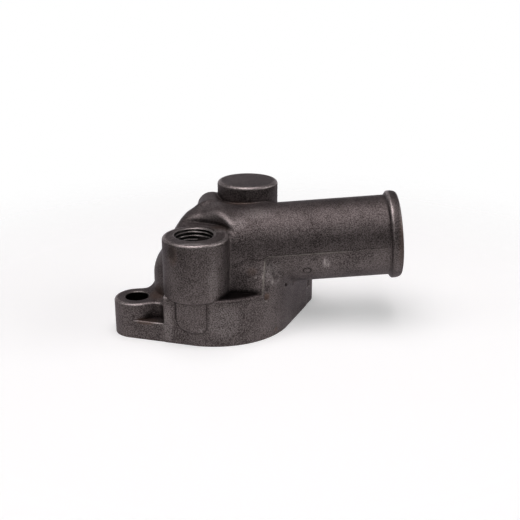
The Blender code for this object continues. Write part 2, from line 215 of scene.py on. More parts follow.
@dataclass(frozen=True)
class Flange:
    """The flange with its two bolt ears."""

    radius: float = 30.0
    thickness: float = 7.5
    edge: float = 0.6
    ear_radius: float = 8.8
    ear_height: float = 14.0
    ear_edge: float = 1.1
    hole_radius: float = 4.5
    left_reach: float = 33.7
    left_angle: float = 203.1
    right_reach: float = 36.6
    right_angle: float = 32.2
    front_fillet: float = 8.0
    rear_fillet: float = 8.0
    wall_fillet: float = 4.5
    below: float = 3.0

    @property
    def left_bolt(self) -> Vector:
        """Return the left bolt's place in the plan."""
        return polar(self.left_reach, self.left_angle)

    @property
    def right_bolt(self) -> Vector:
        """Return the right bolt's place in the plan."""
        return polar(self.right_reach, self.right_angle)

    @property
    def right_facing(self) -> float:
        """Return the direction in which the flange's right front side faces."""
        lean = math.degrees(math.acos((self.radius - self.ear_radius) / self.right_reach))
        return self.right_angle - lean

    def outline(self, cloud: Cloud) -> np.ndarray:
        """Return the plan distance to the circle and ears with their tangents."""
        middle = Vector((0, 0))
        left = cloud.taper(middle, self.radius, self.left_bolt, self.ear_radius)
        right = cloud.taper(middle, self.radius, self.right_bolt, self.ear_radius)
        return np.minimum(left, right)

    def ears(self, cloud: Cloud, body: np.ndarray, drum: np.ndarray) -> np.ndarray:
        """Return the distance to the ears, which run into the body through fillets.

        Args:
            cloud: Where to measure.
            body: Plan distances to what the ears lean on.
            drum: Plan distances to the chamber's wall.

        Returns:
            One distance for each point.
        """
        top = self.ear_height + fillet_rise(drum, self.wall_fillet)
        made = []
        for bolt, turn in ((self.left_bolt, 1), (self.right_bolt, -1)):
            behind = (bolt.x * cloud.y - bolt.y * cloud.x) * -turn > 0
            front = self.front_fillet if turn > 0 else 0.0
            fillet = np.where(behind, self.rear_fillet, front)
            made.append(meet(cloud.disc(bolt, self.ear_radius), body, fillet))
        plan = np.minimum(made[0], made[1])
        return overlap(plan, cloud.slab(-self.below, top), self.ear_edge)

    def plate(self, cloud: Cloud, walls: np.ndarray) -> np.ndarray:
        """Return the distance to the flange's plate, whose top rises a little at the walls."""
        top = self.thickness + fillet_rise(walls, self.edge)
        return overlap(self.outline(cloud), cloud.slab(-self.below, top), self.edge)


@dataclass(frozen=True)
class HoseNeck:
    """The neck that a hose is pushed over, with the bead that holds it."""

    radius: float = 15.9
    bore: float = 12.8
    axis_height: float = 30.0
    climb: float = 4.3
    root_x: float = 12.4
    end_x: float = 73.5
    bead_radius: float = 17.4
    bead_length: float = 4.4
    bead_crest: float = 0.9
    bead_drop: float = 2.1
    bead_squareness: float = 2.6
    bead_step: float = 1.25
    step_fillet: float = 0.5
    buried: float = 9.0

    @property
    def direction(self) -> Vector:
        """Return the way the neck points."""
        turn = math.radians(self.climb)
        return Vector((math.cos(turn), 0, math.sin(turn)))

    @property
    def length(self) -> float:
        """Return the neck's length along its axis, from its root to its open end."""
        return (self.end_x - self.root_x) / self.direction.x - self.radius * self.direction.z

    def axis_z(self, x: float | np.ndarray) -> float | np.ndarray:
        """Return the height of the neck's axis at a place along the housing."""
        return self.axis_height + x * math.tan(math.radians(self.climb))

    def place(self, cloud: Cloud) -> tuple[np.ndarray, np.ndarray, np.ndarray]:
        """Return how far along the neck, from its axis and above its axis the points lie."""
        root_z = self.axis_z(self.root_x)
        way = self.direction
        along = (cloud.x - self.root_x) * way.x + (cloud.z - root_z) * way.z
        above = (cloud.z - root_z) * way.x - (cloud.x - self.root_x) * way.z
        return along, np.hypot(cloud.y, above), above

    def distance(self, cloud: Cloud) -> np.ndarray:
        """Return the distance to the neck with its bead."""
        along, out, _ = self.place(cloud)
        tube = overlap(out - self.radius, np.maximum(-along - self.buried, along - self.length + 1))
        crest = self.length - self.bead_length + self.bead_crest
        middle = self.bead_radius - self.bead_drop
        ahead = self.length - crest + 0.1
        bead = egg(along - crest, out - middle, self.bead_step, ahead, self.bead_drop,
                   self.bead_squareness)
        core = np.maximum(crest - along - self.bead_step, along - self.length)
        bead = np.where(out < middle, core, bead)
        return overlap(meet(tube, bead, self.step_fillet), along - self.length, 0.3)

    def water(self, cloud: Cloud) -> np.ndarray:
        """Return the distance to the neck's bore, which runs out past the open end."""
        along, out, _ = self.place(cloud)
        return overlap(out - self.bore, np.maximum(-along - 2, along - self.length - 3))


@dataclass(frozen=True)
class Elbow:
    """The elbow: ovals that fan out from a pivot under the neck, along a sloping back."""

    neck: HoseNeck
    drum_radius: float = 24.8
    foot_z: float = 11.4
    heel_slope: float = 57.7
    heel_z: float = 24.3
    lower_round: float = 9.0
    upper_round: float = 19.0
    knuckle_rise: float = 2.6
    knuckle_x: float = -3.5
    knuckle_end_x: float = 5.5
    half_width: float = 21.2
    pivot_x: float = 19.5
    toe: float = 0.6
    wall: float = 3.4
    squareness: float = 2.7

    def back(self, wall: float) -> list[Vector]:
        """Return the elbow's back in (x, z), from the chamber to the top of the neck.

        Args:
            wall: How far the back is moved inwards, for the water's side.

        Returns:
            The points of the back, in order.
        """
        slope = polar(1, self.heel_slope)
        climb = polar(1, self.neck.climb)
        side_x = -self.drum_radius - 0.3 + wall
        heel = Vector((-self.drum_radius, self.heel_z)) + Vector((slope.y, -slope.x)) * wall
        lower = heel + slope * ((side_x - heel.x) / slope.x)
        crown = Vector((0, self.neck.axis_height + self.neck.radius + self.knuckle_rise - wall))
        along = (crown - lower).cross(climb) / slope.cross(climb)
        upper = lower + slope * along
        foot = Vector((side_x, self.foot_z))
        knuckle = Vector((self.knuckle_x, crown.y + self.knuckle_x * climb.y))
        points = [foot] + rounded_corner(foot, lower, upper, self.lower_round - wall / 2)
        points += rounded_corner(lower, upper, knuckle, self.upper_round - wall)
        if points[-1].x < knuckle.x:
            points.append(knuckle)
        for x in (self.knuckle_end_x, self.pivot_x):
            points.append(Vector((x, self.neck.axis_z(x) + self.neck.radius - wall - 0.1)))
        return softened(dense(points, 1.0), self.knuckle_x - 8, 14)

    def distance(self, cloud: Cloud, wall: float = 0.0) -> np.ndarray:
        """Return the distance to the elbow.

        Args:
            cloud: Where to measure.
            wall: How far inside the skin the form lies, for the water's side.

        Returns:
            One distance for each point, exact near the surface.
        """
        pivot = Vector((self.pivot_x, self.neck.axis_z(self.pivot_x) - self.neck.radius))
        back = self.back(wall)
        turns = [math.degrees(math.atan2(point.y - pivot.y, pivot.x - point.x)) for point in back]
        reaches = [(point - pivot).length for point in back]
        shares = np.clip(np.divide(turns, 90.0), 0, 1)
        aside, above = cloud.x - pivot.x, cloud.z - pivot.y
        turn = np.degrees(np.arctan2(above, -aside))
        inner = self.toe + wall
        half = (np.interp(turn, turns, reaches) - inner) / 2
        narrower = (self.neck.radius - 0.1 - self.half_width) * np.clip(turn / 90, 0, 1)
        width = self.half_width + narrower - wall
        power = self.squareness - (self.squareness - 2) * np.interp(turn, turns, shares)
        along = np.abs((np.hypot(aside, above) - inner - half) / half)
        across = np.abs(cloud.y / width)
        size = np.maximum((along ** power + across ** power) ** (1 / power), 1e-2)
        steep = np.hypot(along ** (power - 1) / half, across ** (power - 1) / width)
        steep = steep * size ** (1 - power)
        skin = (size - 1) / np.maximum(steep, 1e-3)
        start = math.radians(turns[0])
        before = -(above * math.cos(start) + aside * math.sin(start))
        return np.maximum(skin, np.maximum(before, aside))


def rounded_corner(before: Vector, corner: Vector, after: Vector, radius: float) -> list[Vector]:
    """Return points of the arc that rounds a corner of a polyline.

    Args:
        before: The point before the corner.
        corner: The corner.
        after: The point after it.
        radius: The arc's radius.

    Returns:
        Points from one end of the arc to the other.
    """
    back, ahead = (before - corner).normalized(), (after - corner).normalized()
    half = back.angle(ahead) / 2
    centre = corner + (back + ahead).normalized() * radius / math.sin(half)
    first = corner + back * radius / math.tan(half) - centre
    turn = first.angle_signed(corner + ahead * radius / math.tan(half) - centre)
    count = max(6, math.ceil(abs(math.degrees(turn)) / 3))
    return [centre + Matrix.Rotation(-turn * step / count, 2) @ first for step in range(count + 1)]


def dense(points: Sequence[Vector], step: float) -> list[Vector]:
    """Return a polyline with its longer pieces divided.

    Args:
        points: The polyline.
        step: The longest piece that may stay.

    Returns:
        The points with the new ones between them.
    """
    made = [points[0]]
    for start, end in zip(points, points[1:]):
        count = max(1, math.ceil((end - start).length / step))
        made += [start.lerp(end, (part + 1) / count) for part in range(count)]
    return made


def softened(points: Sequence[Vector], start_x: float, turns: int) -> list[Vector]:
    """Return a polyline whose corners past a place are softened.

    Args:
        points: The polyline.
        start_x: Points before this X stay.
        turns: How often each point moves towards the middle of its neighbours.

    Returns:
        The softened points.
    """
    soft = list(points)
    for _ in range(turns):
        for index in range(1, len(soft) - 1):
            if soft[index].x > start_x:
                soft[index] = (soft[index - 1] + soft[index] * 2 + soft[index + 1]) / 4
    return soft


@dataclass(frozen=True)
class Bosses:
    """The threaded boss at the front and the two blank ones."""

    sensor: Vector = Vector((-7.0, -19.5))
    sensor_radius: float = 12.6
    sensor_top: float = 41.0
    sensor_foot: float = 17.7
    sensor_rim: float = 1.15
    hole: Vector = Vector((-7.4, -17.8))
    hole_depth: float = 28.5
    minor_radius: float = 7.2
    mouth_radius: float = 8.3
    mouth_depth: float = 0.35
    pitch: float = 1.5
    thread_depth: float = 0.8
    thread_length: float = 17.0
    blank: Vector = Vector((12.2, 16.3))
    blank_radius: float = 12.3
    blank_foot: float = 28.5
    blank_top: float = 53.1
    blank_rim: float = 1.3
    rear: Vector = Vector((-2.5, 41.7))
    rear_radius: float = 6.1
    rear_start: float = 4.0
    rear_end: float = 19.0
    rear_rim: float = 1.6
    shoulder: Vector = Vector((-5.5, -1.0, 44.8))
    shoulder_rises: tuple[tuple[float, float], ...] = ((0.295, 0.455), (0.553, 0.357))
    shoulder_round: float = 2.4
    room: Vector = Vector((-13.2, -25.6))
    room_radius: float = 22.8
    room_edge: float = 1.9
    room_foot: float = 0.8

    def spanner_room(self, cloud: Cloud, grown: float = 0.0) -> np.ndarray:
        """Return the distance to the room behind the threaded boss, grown by a wall."""
        floor = self.sensor_top - grown - cloud.z
        return overlap(cloud.disc(self.room, self.room_radius + grown), floor, self.room_foot)

    def shoulder_cut(self, cloud: Cloud, grown: float = 0.0) -> np.ndarray:
        """Return the distance to the planes that flatten the elbow's shoulder above the room."""
        x, y, z = cloud.x - self.shoulder.x, cloud.y - self.shoulder.y, cloud.z - self.shoulder.z
        found = [(z - x * ahead - y * aside) / math.sqrt(1 + ahead ** 2 + aside ** 2)
                 for ahead, aside in self.shoulder_rises]
        return np.minimum(found[0], found[1]) + grown

    def threaded(self, cloud: Cloud) -> np.ndarray:
        """Return the distance to the threaded boss, without its hole."""
        height = cloud.slab(self.sensor_foot, self.sensor_top)
        return overlap(cloud.disc(self.sensor, self.sensor_radius), height, self.sensor_rim)

    def top_blank(self, cloud: Cloud) -> np.ndarray:
        """Return the distance to the round blank boss behind the neck."""
        height = cloud.slab(self.blank_foot, self.blank_top)
        return overlap(cloud.disc(self.blank, self.blank_radius), height, self.blank_rim)

    def rear_blank(self, cloud: Cloud) -> np.ndarray:
        """Return the distance to the small boss that points to the rear."""
        out = np.hypot(cloud.x - self.rear.x, cloud.z - self.rear.y) - self.rear_radius
        ends = np.maximum(self.rear_start - cloud.y, cloud.y - self.rear_end)
        return overlap(out, ends, self.rear_rim)


@dataclass(frozen=True)
class Block:
    """The block in front of the chamber that carries the threaded boss, with its pad."""

    top: float = 18.6
    proud: float = 0.2
    flank_x: float = -19.4
    rear_y: float = -9.7
    edge: float = 1.1
    ear_notch: float = 5.5
    pad_low: Vector = Vector((-14.3, 5.5))
    pad_high_x: float = -2.8
    pad_arc_x: float = -7.2
    pad_arc: float = 10.2
    pad_corner: float = 2.0
    pad_proud: float = 1.0
    wall_start_x: float = 2.0
    wall_start: float = 20.3
    corner_x: float = 18.4
    cheek_start_x: float = 18.8
    cheek_full_x: float = 22.4
    cheek_rise: float = 4.2
    cheek_edge: float = 1.4
    end_x: float = 30.4
    lip: float = 0.5
    sink: float = 0.15
    under_start_x: float = 19.0
    under_end_x: float = 24.6
    tangent_end_x: float = 9.0
    hang_corner: float = 4.0
    hang_end: float = 32.0
    lean_fillet: float = 4.0
    saddle_fillet: float = 3.2
    radius: float = 30.2

    def outline(self, cloud: Cloud, flange: Flange) -> np.ndarray:
        """Return the plan distance to the block."""
        facing = polar(1, flange.right_facing + 90)
        end = facing.dot(flange.right_bolt) - self.ear_notch
        sides = np.maximum(self.flank_x - cloud.x, cloud.x * facing.x + cloud.y * facing.y - end)
        behind = np.minimum(cloud.y - self.rear_y, -cloud.x)
        return overlap(flange.outline(cloud) - self.proud, np.maximum(sides, behind), self.edge / 2)

    def front_depth(self, x: np.ndarray, radius: float, facing: Vector) -> np.ndarray:
        """Return how far in front of the chamber's axis the block's outline lies.

        Args:
            x: Places along the housing.
            radius: The outline's radius about the chamber's axis.
            facing: The way in which its straight right side faces.

        Returns:
            One depth for each place.
        """
        straight = (radius - x * facing.x) / -facing.y
        arc = np.sqrt(np.maximum(radius ** 2 - x ** 2, 0))
        return np.where(x < radius * facing.x, arc, straight)

    def skirt(self, cloud: Cloud, plan: np.ndarray, neck: HoseNeck, facing: Vector) -> np.ndarray:
        """Return the distance to the wall that leans from the neck's side to the block.

        Its foot is set back at the threaded boss. From the corner on it follows the block's
        front, which rises there into a cheek, and slips under the neck.

        Args:
            cloud: Where to measure.
            plan: Plan distances to the block.
            neck: The neck that the wall hangs from.
            facing: The way in which the block's right side faces.

        Returns:
            One distance for each point.
        """
        radius = self.radius
        x = np.clip(cloud.x, self.wall_start_x, self.end_x)
        share = (x - self.wall_start_x) / (self.corner_x - self.wall_start_x)
        corner = math.sqrt(radius ** 2 - self.corner_x ** 2)
        foot = self.wall_start + (corner - self.wall_start) * share
        foot = np.where(x > self.corner_x, self.front_depth(x, radius, facing), foot)
        under = smooth_step(x, self.under_start_x, self.under_end_x)
        reach = neck.radius - self.sink
        drop = neck.axis_z(x) - self.top
        tangent = np.arctan2(drop, foot) - np.arccos(np.minimum(reach / np.hypot(drop, foot), 1.0))
        corner_turn, end_turn = math.radians(self.hang_corner), math.radians(self.hang_end)
        turn = tangent + (corner_turn - tangent) * smooth_step(x, self.tangent_end_x, self.corner_x)
        turn = turn + (end_turn - corner_turn) * under
        hang_y, hang_z = reach * np.cos(turn), neck.axis_z(x) - reach * np.sin(turn)
        top = self.top + self.cheek_rise * smooth_step(x, self.cheek_start_x, self.cheek_full_x)
        top = np.minimum(top, hang_z - self.lip)
        run_y, run_z = np.maximum(foot - hang_y, 0), hang_z - top
        lean = ((-cloud.y - foot) * run_z + (cloud.z - top) * run_y) / np.hypot(run_y, run_z)
        ends = np.maximum(self.wall_start_x - cloud.x, cloud.x - self.end_x)
        ends = np.maximum(ends, cloud.z - hang_z)
        front = np.where(cloud.x > self.corner_x, plan, -cloud.y - foot)
        return np.maximum(overlap(lean, np.maximum(front, plan), self.cheek_edge), ends)

    def pad_line(self, cloud: Cloud) -> np.ndarray:
        """Return the front view's distance to the pad's outline, whose foot is an arc."""
        middle = (self.pad_low.x + self.pad_high_x) / 2
        sides = np.abs(cloud.x - middle) - (self.pad_high_x - middle)
        below = np.minimum(cloud.z - self.pad_low.y - self.pad_arc, 0)
        foot = np.hypot(cloud.x - self.pad_arc_x, below) - self.pad_arc
        return overlap(sides, foot, self.pad_corner)

    def pad_form(self, cloud: Cloud, plan: np.ndarray) -> np.ndarray:
        """Return the distance to the shallow pad under the threaded boss."""
        outline = np.maximum(np.maximum(self.pad_line(cloud), cloud.z - self.top + 0.5), cloud.y)
        return overlap(plan - self.pad_proud, outline, 0.3)


class Tint(Enum):
    """What a spot on the skin is, painted shade and painted highlights among them, by the name of its
    attribute.
    """

    BARE_AND_HIGHLIGHT = "edge"
    RUST = "rust"
    SHADE_AND_SOOT = "soot"
    PALE_AND_HIGHLIGHT = "pale"


@dataclass(frozen=True)
class Spot:
    """A soft spot of colour: rust, dark dirt, rubbed metal, painted shade or a painted highlight."""

    tint: Tint
    place: tuple[float, float, float]
    size: tuple[float, float, float]
    strength: float

    def cover(self, points: np.ndarray) -> np.ndarray:
        """Return how strongly the spot covers each point."""
        away = np.linalg.norm((points - np.array(self.place)) / np.array(self.size), axis=1)
        return self.strength * (1 - smooth_step(away, 0.4, 1.0))


@dataclass(frozen=True)
class Marks:
    """The fine marks on the skin: the die's seam, an ejector ring, a pit and a dent."""

    seam_foot: Vector = Vector((18.1, 18.6))
    seam_turn_x: float = 19.4
    seam_below_axis: float = 0.3
    seam_round: float = 1.2
    seam_height: float = 0.13
    seam_width: float = 0.26
    ring_x: float = 35.6
    ring_turn: float = -30.0
    ring_radius: float = 1.5
    ring_width: float = 0.24
    ring_depth: float = 0.22
    pit: Vector = Vector((27.6, -12.1, 18.4))
    pit_size: Vector = Vector((0.8, 1.1, 0.5))
    dent: Vector = Vector((19.9, -22.9, 17.3))
    dent_size: Vector = Vector((1.1, 0.9, 1.7))
    scuff: Vector = Vector((42.8, 28.3))
    scuff_size: Vector = Vector((1.6, 3.4))
    spots: tuple[Spot, ...] = (
        Spot(Tint.RUST, (-26.0, -22.8, 7.4), (6.0, 3.0, 1.6), 0.8),
        Spot(Tint.RUST, (-23.0, -13.5, 15.5), (5.5, 6.0, 4.0), 1.0),
        Spot(Tint.RUST, (19.8, -22.1, 17.4), (1.7, 1.7, 2.0), 1.0),
        Spot(Tint.RUST, (23.6, -18.9, 2.1), (1.3, 1.3, 1.3), 0.8),
        Spot(Tint.RUST, (3.0, -10.5, 41.0), (6.5, 4.5, 1.6), 0.7),
        Spot(Tint.RUST, (-14.9, -29.4, 36.5), (3.2, 2.5, 5.5), 0.5),
        Spot(Tint.RUST, (14.2, -18.3, 26.0), (3.0, 2.5, 2.4), 0.5),
        Spot(Tint.RUST, (8.0, 4.5, 46.0), (12.0, 2.2, 2.0), 0.6),
        Spot(Tint.RUST, (72.5, -14.0, 38.0), (3.5, 8.0, 13.0), 0.9),
        # Painted shade in the recess in front of the left ear.
        Spot(Tint.SHADE_AND_SOOT, (-26.6, -19.6, 8.8), (3.2, 2.6, 2.4), 0.8),
        Spot(Tint.SHADE_AND_SOOT, (-15.2, -29.0, 37.6), (2.6, 2.4, 3.6), 0.6),
        Spot(Tint.SHADE_AND_SOOT, (38.0, -15.7, 30.1), (0.7, 0.7, 0.7), 0.7),
        Spot(Tint.SHADE_AND_SOOT, (73.0, -13.0, 33.0), (3.0, 8.0, 15.0), 0.3),
        Spot(Tint.SHADE_AND_SOOT, (26.1, -15.2, 15.6), (0.8, 0.8, 0.6), 0.6),
        Spot(Tint.BARE_AND_HIGHLIGHT, (42.2, -15.2, 28.8), (0.45, 1.2, 2.8), 1.0),
        Spot(Tint.BARE_AND_HIGHLIGHT, (43.7, -15.2, 27.2), (0.4, 1.2, 1.5), 0.8),
        Spot(Tint.PALE_AND_HIGHLIGHT, (42.8, -15.1, 28.3), (1.9, 1.7, 3.4), 0.9),
        # Painted highlight down the threaded boss's right side.
        Spot(Tint.PALE_AND_HIGHLIGHT, (-0.2, -29.5, 27.0), (2.6, 4.0, 11.0), 0.45),
        Spot(Tint.BARE_AND_HIGHLIGHT, (13.4, -19.6, 23.8), (0.9, 1.4, 0.5), 0.6),
        Spot(Tint.BARE_AND_HIGHLIGHT, (15.6, -19.6, 24.3), (0.8, 1.4, 0.6), 0.6),
        # Painted highlights on the neck's top and the elbow's top.
        Spot(Tint.PALE_AND_HIGHLIGHT, (16.0, -6.0, 45.6), (9.0, 5.5, 3.0), 0.5),
        Spot(Tint.PALE_AND_HIGHLIGHT, (-1.0, 1.5, 46.0), (9.0, 5.0, 3.0), 0.5),
        Spot(Tint.PALE_AND_HIGHLIGHT, (3.5, -13.5, 41.0), (5.0, 4.5, 1.2), 0.7),
        # Painted highlight along the threaded boss's front rim.
        Spot(Tint.BARE_AND_HIGHLIGHT, (-6.5, -30.9, 40.9), (11.0, 3.0, 1.2), 1.0),
        # Painted highlights: on the saddle, on the neck beside the spanner room, on the left flank's
        # facet and at the pad's foot.
        Spot(Tint.PALE_AND_HIGHLIGHT, (22.5, -18.0, 25.0), (6.0, 6.0, 6.0), 0.6),
        Spot(Tint.PALE_AND_HIGHLIGHT, (8.0, -11.0, 43.0), (5.5, 5.0, 4.0), 0.5),
        Spot(Tint.PALE_AND_HIGHLIGHT, (-17.9, -25.8, 8.0), (2.8, 4.0, 11.0), 0.6),
        Spot(Tint.PALE_AND_HIGHLIGHT, (-5.0, -30.6, 7.1), (1.3, 1.3, 0.9), 0.8),
        Spot(Tint.PALE_AND_HIGHLIGHT, (4.0, -30.0, 10.0), (9.0, 4.0, 9.0), 0.5),
    )

    def seam_line(self, cloud: Cloud, neck: HoseNeck) -> np.ndarray:
        """Return the side view's distance to the line along which the die parts."""
        level = (neck.axis_z(cloud.x) - self.seam_below_axis - cloud.z) * neck.direction.x
        turn_z = neck.axis_z(self.seam_turn_x) - self.seam_below_axis
        lean = (self.seam_turn_x - self.seam_foot.x) / (turn_z - self.seam_foot.y)
        upright = cloud.x - (self.seam_turn_x + (cloud.z - turn_z) * lean)
        inside = overlap(-level, -upright, self.seam_round)
        foot = self.seam_foot.y - cloud.z
        front = np.maximum(np.abs(inside), foot)
        rear = np.maximum(np.abs(level), neck.root_x - cloud.x)
        return np.where(cloud.y < 0, front, rear)

    def seam(self, cloud: Cloud, neck: HoseNeck) -> np.ndarray:
        """Return how far the seam stands proud of the skin."""
        along, out, _ = neck.place(cloud)
        before_bead = 1 - smooth_step(along, neck.length - 7, neck.length - 5)
        skin = (out > neck.radius - 2) * (np.abs(cloud.y) > 8)
        line = self.seam_line(cloud, neck) / self.seam_width
        return self.seam_height * np.exp(-line * line) * before_bead * skin

    def ring_middle(self, neck: HoseNeck) -> Vector:
        """Return the middle of the ejector's ring mark on the neck."""
        turn = math.radians(self.ring_turn)
        height = neck.axis_z(self.ring_x) + neck.radius * math.sin(turn)
        return Vector((self.ring_x, -neck.radius * math.cos(turn), height))

    def ring(self, cloud: Cloud, neck: HoseNeck) -> np.ndarray:
        """Return how deep the ejector's ring mark is."""
        line = (cloud.away(self.ring_middle(neck)) - self.ring_radius) / self.ring_width
        return self.ring_depth * np.exp(-line * line)

    def hollows(self, cloud: Cloud) -> np.ndarray:
        """Return the distance to the small holes in the skin."""
        found = []
        for middle, size in ((self.pit, self.pit_size), (self.dent, self.dent_size)):
            found.append((cloud.away(middle, size) - 1) * min(size))
        return np.minimum(found[0], found[1])

    def fine(self, cloud: Cloud, neck: HoseNeck) -> np.ndarray:
        """Return which points lie at a mark that needs a finer mesh: seam, ring or scuff."""
        seam = (np.abs(self.seam_line(cloud, neck)) < 0.45) & (cloud.y < 0)
        aside, above = np.abs(cloud.x - self.scuff.x), np.abs(cloud.z - self.scuff.y)
        scuff = (aside < self.scuff_size.x) & (above < self.scuff_size.y) & (cloud.y < -14)
        return seam | scuff | (cloud.away(self.ring_middle(neck)) < self.ring_radius + 0.6)


@dataclass(frozen=True)
class Casting:
    """The whole casting: its skin as a field, and the water's side inside it."""

    flange: Flange = Flange()
    neck: HoseNeck = HoseNeck()
    bosses: Bosses = Bosses()
    block: Block = Block()
    marks: Marks = Marks()
    elbow: Elbow = Elbow(HoseNeck())
    drum_radius: float = 24.8
    core_below: float = 4.0
    chamber_radius: float = 21.2
    chamber_top: float = 15.0
    seat_radius: float = 26.2
    seat_depth: float = 3.4
    body_fillet: float = 1.6
    boss_fillet: float = 1.4
    blank_fillet: float = 0.9
    core_fillet: float = 2.0

    def skin(self, cloud: Cloud) -> np.ndarray:
        """Return the distance to the casting's outer skin."""
        drum = cloud.disc((0, 0), self.drum_radius)
        plan = self.block.outline(cloud, self.flange)
        ears = self.flange.ears(cloud, np.minimum(drum, plan), drum)
        plate = self.flange.plate(cloud, np.minimum(drum, plan))
        neck = self.neck.distance(cloud)
        skirt = self.block.skirt(cloud, plan, self.neck, polar(1, self.flange.right_facing))
        shoulder = self.bosses.shoulder_cut(cloud)
        bend = overlap(self.elbow.distance(cloud), shoulder, self.bosses.shoulder_round)
        bend = meet(bend, neck, 0.4 * (1 - smooth_step(cloud.x, 8.0, 14.0)))
        bend = overlap(bend, -self.bosses.spanner_room(cloud), self.bosses.room_edge)
        below = smooth_step(self.neck.axis_z(cloud.x) - cloud.z, 0.5, 6.0)
        past = smooth_step(cloud.x, self.block.corner_x, self.block.corner_x + 3)
        fillet = self.block.lean_fillet * below * (1 - past) + self.block.saddle_fillet * past
        bend = meet(bend, skirt, fillet)
        bend = meet(bend, self.bosses.threaded(cloud), self.boss_fillet)
        bend = meet(bend, self.bosses.rear_blank(cloud), self.body_fillet)
        bend = meet(bend, self.bosses.top_blank(cloud), self.blank_fillet)
        drum_form = overlap(drum, cloud.slab(-self.flange.below, self.block.top - 0.3), 1.2)
        block = overlap(plan, cloud.slab(-self.flange.below, self.block.top), self.block.edge)
        block = meet(block, self.block.pad_form(cloud, plan), 0.5)
        low = np.minimum(np.minimum(ears, plate), np.minimum(drum_form, block))
        whole = np.minimum(low, bend)
        whole = overlap(whole, -self.marks.hollows(cloud), 0.25)
        return whole - self.marks.seam(cloud, self.neck) + self.marks.ring(cloud, self.neck)

    def water(self, cloud: Cloud) -> np.ndarray:
        """Return the distance to the chamber, the elbow's inside and the neck's bore."""
        height = cloud.slab(-self.core_below, self.chamber_top)
        chamber = overlap(cloud.disc((0, 0), self.chamber_radius), height, 1.2)
        bend = self.elbow.distance(cloud, self.elbow.wall)
        bend = overlap(bend, self.bosses.shoulder_cut(cloud, self.elbow.wall), 1.0)
        bend = overlap(bend, -self.bosses.spanner_room(cloud, self.elbow.wall), 1.0)
        way = meet(bend, self.neck.water(cloud), 0.5)
        height = cloud.slab(-self.core_below, self.seat_depth)
        seat = overlap(cloud.disc((0, 0), self.seat_radius), height, 0.4)
        return np.minimum(meet(way, chamber, self.core_fillet), seat)


# Meshes

Field = Callable[[Cloud], np.ndarray]
Box = tuple[tuple[float, float, float], tuple[float, float, float]]


def gradient(distance: Field, points: np.ndarray, reach: float = 0.02) -> np.ndarray:
    """Return a field's gradient at points, from differences over a short reach."""
    found = np.empty(points.shape)
    for axis in range(3):
        offset = np.zeros(3)
        offset[axis] = reach
        ahead, back = Cloud.of(points + offset), Cloud.of(points - offset)
        found[:, axis] = (distance(ahead) - distance(back)) / (2 * reach)
    return found


def facings(distance: Field, points: np.ndarray) -> np.ndarray:
    """Return the unit normals of a field's surface at points on it."""
    slope = gradient(distance, points, 0.05)
    return slope / np.maximum(np.linalg.norm(slope, axis=1), 1e-6)[:, None]


def baked(mesh: bmesh.types.BMesh, name: str) -> bpy.types.Mesh:
    """Return a finished mesh under its name, and free the one it was drawn in."""
    data = bpy.data.meshes.new(name)
    mesh.to_mesh(data)
    mesh.free()
    return data


def placed(name: str, data: bpy.types.ID) -> bpy.types.Object:
    """Return a new object in the scene, made from a mesh, a light or a camera."""
    made = bpy.data.objects.new(name, data)
    bpy.context.collection.objects.link(made)
    return made


def evaluated(thing: bpy.types.Object) -> bpy.types.Mesh:
    """Return an object's mesh as its modifiers make it."""
    graph = bpy.context.evaluated_depsgraph_get()
    return bpy.data.meshes.new_from_object(thing.evaluated_get(graph))


